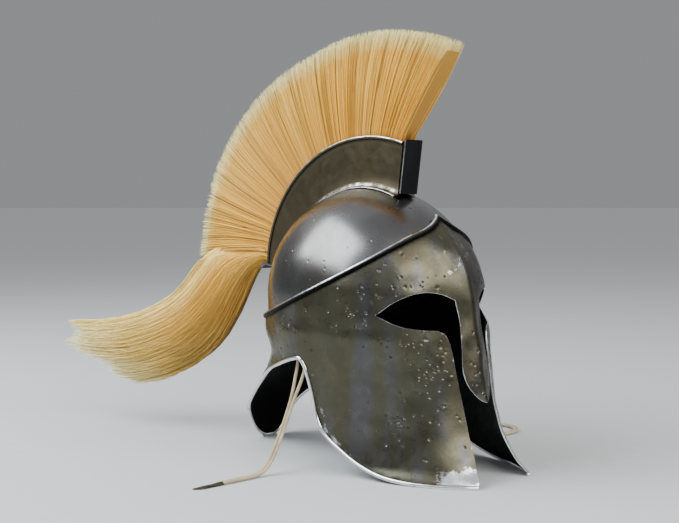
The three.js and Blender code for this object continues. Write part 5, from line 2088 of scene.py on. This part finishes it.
@dataclass
class ChinTie:
    """Two twisted cords hung from a wire staple in the side notch, with a leather end."""

    form: HeadForm
    hand: Hand
    route: Rows
    radius: float = 1.7
    pitch: float = 8.0
    sides: int = 15
    ground: float = 0.15
    staple_s: float = 185.0
    staple_z: float = 119.0
    staple_wire: float = 1.1
    staple_half: float = 9.0
    staple_deep: float = 4.5
    end_long: float = 34.0
    end_half: float = 5.0
    end_thick: float = 3.4

    ROUTE_POINTS = 36
    FINE = 12
    YARN = (0.84, 0.2)
    # Share of the leather end's length, and of its width there.
    END_WIDTHS = ((0, 0.6), (0.03, 0.76), (0.25, 1), (0.5, 0.9), (0.75, 0.78), (0.94, 0.5), (1, 0.2))
    # The leather's section, as points (across, up).
    END_RING = (
        *((-1, 0.25), (-0.9, 0.05), (0, 0.0), (0.9, 0.05), (1, 0.25), (0.95, 0.55), (0.6, 0.85)),
        *((0.15, 1.0), (0.05, 0.8), (-0.05, 1.02), (-0.5, 0.9), (-0.9, 0.6)),
    )
    END_STEPS = 30

    def strand_path(self, hand: int) -> Array:
        """One cord's middle line, from the staple to the leather end.

        Args:
            hand: which of the two cords, 1 or -1.

        Returns:
            An array of points.
        """
        rows = np.array(self.route, float)
        run = np.empty((len(rows), 2))
        run[1:-1] = rows[2:, :2] - rows[:-2, :2]
        run[0], run[-1] = rows[1, :2] - rows[0, :2], rows[-1, :2] - rows[-2, :2]
        shift = unit(run) * (hand * rows[:, 3:])
        return self.form.place(rows[:, 0] - shift[:, 1], rows[:, 1] + shift[:, 0], rows[:, 2])

    def strand(self, word: str, hand: int) -> tuple[Piece, Array]:
        """One cord of three yarns laid round each other.

        Args:
            word: the cord's name.
            hand: which of the two cords, 1 or -1.

        Returns:
            The cord and its middle line.
        """
        path = self.strand_path(hand)
        fine = spline(path, len(path) * self.FINE)
        turn = np.arange(self.sides) / self.sides * TURN
        lobe = np.abs(np.cos(1.5 * turn))
        least, more = self.YARN
        size = self.radius * (least + more * lobe**0.8)
        sizes = np.broadcast_to(size, (len(fine), self.sides))
        rings = tube(fine, sizes, self.sides, TURN / self.pitch)
        rings[..., 2] = np.maximum(rings[..., 2], self.ground)
        shape = Shape()
        shape.skin(domed(rings, 3), groove=(1 - lobe[None]) ** 2)
        return shape.build(f"tie_{self.hand.word}_{word}", sharp=80), path

    def end(self) -> Piece:
        """The leather strip folded round the cords' ends.

        Returns:
            The leather end.
        """
        rows = np.array(self.route, float)
        a, b = rows[-2], rows[-1]
        ahead = unit((b - a)[:2])
        table = np.array(self.END_WIDTHS, float)
        rng = np.random.default_rng(SEED + 5)
        rows = []
        for v in np.linspace(0, 1, self.END_STEPS):
            wide = float(hermite(table, np.array([v]), 1)[0])
            curl = 1.6 * math.sin(v * 7.0) * v
            squeeze = 0.75 + 0.25 * math.cos(v * 9.0) * (1 - v)
            row = []
            for x, h in self.END_RING:
                out = x * wide * self.end_half + curl
                run = 0.5 + v * self.end_long + rng.normal(0, 0.08)
                up = h * self.end_thick * (1.05 - 0.35 * v) * squeeze * (0.7 + 0.3 * wide)
                z = self.ground + max(0.0, up)
                side = b[0] + ahead[0] * run - ahead[1] * out
                row.append(self.form.place(side, b[1] + ahead[1] * run + ahead[0] * out, z))
            rows.append(row)
        shape = Shape()
        worn = np.array([1.0 if abs(x) > 0.85 or h > 0.99 else 0.0 for x, h in self.END_RING])
        shape.skin(np.array(rows), worn=worn[None])
        return shape.build(f"tie_end_{self.hand.word}_leather", sharp=60)

    def hook(self) -> Piece:
        """The wire staple on the mask's inner face, its two feet spread flat.

        Returns:
            The staple.
        """
        form, turn = self.form, self.hand.value
        wire, half, deep = self.staple_wire, self.staple_half, self.staple_deep

        def at(along: float, lift: float) -> Array:
            """A point beside the staple, lifted off the mask's inner face."""
            return form.on_mask(np.array(turn * self.staple_s + along), np.array(self.staple_z), lift)

        base = at(0.0, -0.4)
        into, round_ = unit(at(0.0, -1.4) - base), unit(at(1.0, -0.4) - base)
        angle = np.linspace(0, math.pi, 21)
        loop = base + np.outer(np.cos(angle), round_) * half + np.outer(np.sin(angle) * deep + wire, into)
        foot = np.stack([base + round_ * half * k + into * 0.55 for k in (1.25, -1.25)])
        path = spline(np.vstack([foot[:1], loop, foot[1:]]), 40)
        shape = Shape()
        shape.skin(domed(tube(path, wire, 12)))
        return shape.build(f"tie_staple_{self.hand.word}_wire", sharp=60)

    def build(self, finishes: Finishes) -> None:
        """Makes the tie's pieces and dresses them.

        Args:
            finishes: the materials.
        """
        word = self.hand.word
        end = self.end()
        dress(end, finishes.leather, (f"tie_end_{word}",))
        dress(self.hook(), finishes.black, (f"tie_staple_{word}",))
        for lane, hand in (("fore", 1), ("aft", -1)):
            piece, path = self.strand(lane, hand)
            dress(piece, finishes.cord, (f"tie_strand_{word}_{lane}",))
            points = spline(path, self.ROUTE_POINTS) * MM


# ---- the studio ----


@dataclass(frozen=True)
class Lamp:
    """A soft rectangular light."""

    name: str
    at: Place
    size: Span
    power: float
    colour: Colour
    aim: Place = (0, -0.13, 0.2)

    def build(self) -> None:
        """Hangs the lamp."""
        data = bpy.data.lights.new(self.name, "AREA")
        data.shape = "RECTANGLE"
        data.size, data.size_y = self.size
        data.energy = self.power
        data.color = self.colour
        lamp = bpy.data.objects.new(self.name, data)
        lamp.location = self.at
        lamp.rotation_euler = (Vector(self.aim) - lamp.location).to_track_quat("-Z", "Y").to_euler()
        bpy.context.scene.collection.objects.link(lamp)


@dataclass
class Studio:
    """A wide pale floor, a soft surround, lamps and the camera."""

    eye: Place = (-0.9341, -1.0070, 0.2737)
    azimuth: float = -45.285
    aim_right: float = -0.03475
    aim_z: float = 0.2104
    lens: float = 63.4
    sensor: float = 36.0
    floor_dark: Colour = (0.46, 0.478, 0.49)
    floor_light: Colour = (0.53, 0.548, 0.56)
    horizon: Colour = (0.31, 0.315, 0.32)
    overhead: Colour = (0.74, 0.745, 0.75)
    lamps: tuple[Lamp, ...] = (
        Lamp("window", (-1.15, 0.66, 1.42), (1.9, 1.15), 70, (0.92, 0.97, 1.0)),
        Lamp("front", (-0.3, -2.0, 1.4), (2.4, 1.3), 60, (1.0, 0.985, 0.95)),
        Lamp("top", (0.5, 0.9, 2.0), (2.4, 2.4), 6, (1.0, 0.99, 0.97)),
    )

    FLOOR_MIDDLE = (0.0, -0.13, 0.0)
    FLOOR_RADII = (0.05, 0.4, 0.9, 1.6, 3.2, 6.0, 12.0, 25.0, 60.0)
    FLOOR_SIDES = 64

    def camera(self, helmet_y: float) -> None:
        """Places the camera.

        Args:
            helmet_y: the bowl's middle, in millimetres.
        """
        a = math.radians(self.azimuth)
        aim = Vector((math.cos(a) * self.aim_right, helmet_y * MM + math.sin(a) * self.aim_right, self.aim_z))
        data = bpy.data.cameras.new("camera")
        data.lens = self.lens
        data.sensor_width = self.sensor
        camera = bpy.data.objects.new("camera", data)
        camera.location = self.eye
        camera.rotation_euler = (aim - camera.location).to_track_quat("-Z", "Y").to_euler()
        bpy.context.scene.collection.objects.link(camera)
        bpy.context.scene.camera = camera

    def floor(self) -> None:
        """A wide pale floor."""
        n = self.FLOOR_SIDES
        turn = np.arange(n) / n * TURN
        middle = np.array(self.FLOOR_MIDDLE)
        around = np.stack([np.cos(turn), np.sin(turn), 0 * turn], axis=-1)
        points = [middle[None] / MM, *((middle + around * r) / MM for r in self.FLOOR_RADII)]
        faces: list[tuple[int, ...]] = [(0, 1 + j, 1 + (j + 1) % n) for j in range(n)]
        for i in range(len(self.FLOOR_RADII) - 1):
            a, b = 1 + i * n, 1 + (i + 1) * n
            faces += [(a + j, b + j, b + (j + 1) % n, a + (j + 1) % n) for j in range(n)]
        shape = Shape()
        shape.add(np.vstack(points), faces)
        floor = shape.build("floor")
        material, nodes, shader = principled("pale floor", Roughness=0.9, Specular_IOR_Level=0.2)
        at = nodes.new("ShaderNodeTexCoord").outputs["Object"]
        colour = nodes.blend(nodes.noise(at, 60.0, 6.0, 0.7), self.floor_dark, self.floor_light)
        nodes.tree.links.new(colour, shader.inputs["Base Color"])
        floor.data.materials.append(material)

    def world(self) -> None:
        """A soft surround, darker near the horizon than overhead."""
        world = bpy.data.worlds.new("studio")
        world.use_nodes = True
        nodes = Nodes(world.node_tree)
        at = nodes.new("ShaderNodeTexCoord").outputs["Generated"]
        up = nodes.new("ShaderNodeSeparateXYZ", {0: at}).outputs[2]
        stops = [(0.0, self.horizon), (0.32, self.horizon), (0.6, self.overhead), (1.0, self.overhead)]
        colour = nodes.ramp(nodes.span(up, -0.2, 1.0), stops)
        back = nodes.new("ShaderNodeBackground", {"Color": colour, "Strength": 0.9})
        nodes.new("ShaderNodeOutputWorld", {"Surface": back})
        bpy.context.scene.world = world

    def build(self, helmet_y: float) -> None:
        """Sets up camera, floor and lights.

        Args:
            helmet_y: the bowl's middle, in millimetres.
        """
        self.camera(helmet_y)
        self.floor()
        self.world()
        for lamp in self.lamps:
            lamp.build()


# ---- the whole ----


def main() -> None:
    """Builds the helmet and its studio, piece by piece."""
    logging.basicConfig(level=logging.INFO, format="%(name)s: %(message)s")
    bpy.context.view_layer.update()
    form = HeadForm()
    Studio().build(form.helmet_y)
    finishes = Finishes()
    for hand, route in ((Hand.RIGHT, RIGHT_TIE), (Hand.LEFT, LEFT_TIE)):
        ChinTie(form, hand, route).build(finishes)
    Skull(form).build(finishes.skull)
    Mask(form).build(finishes.mask, finishes.rim)
    box = CrestBox(form)
    box.build(finishes)
    tree = Strands.tree()
    crest = CrestHair(box)
    crest.build(tree, finishes)
    HairTail(form).build(crest, tree, finishes)


if __name__ == "__main__":
    main()
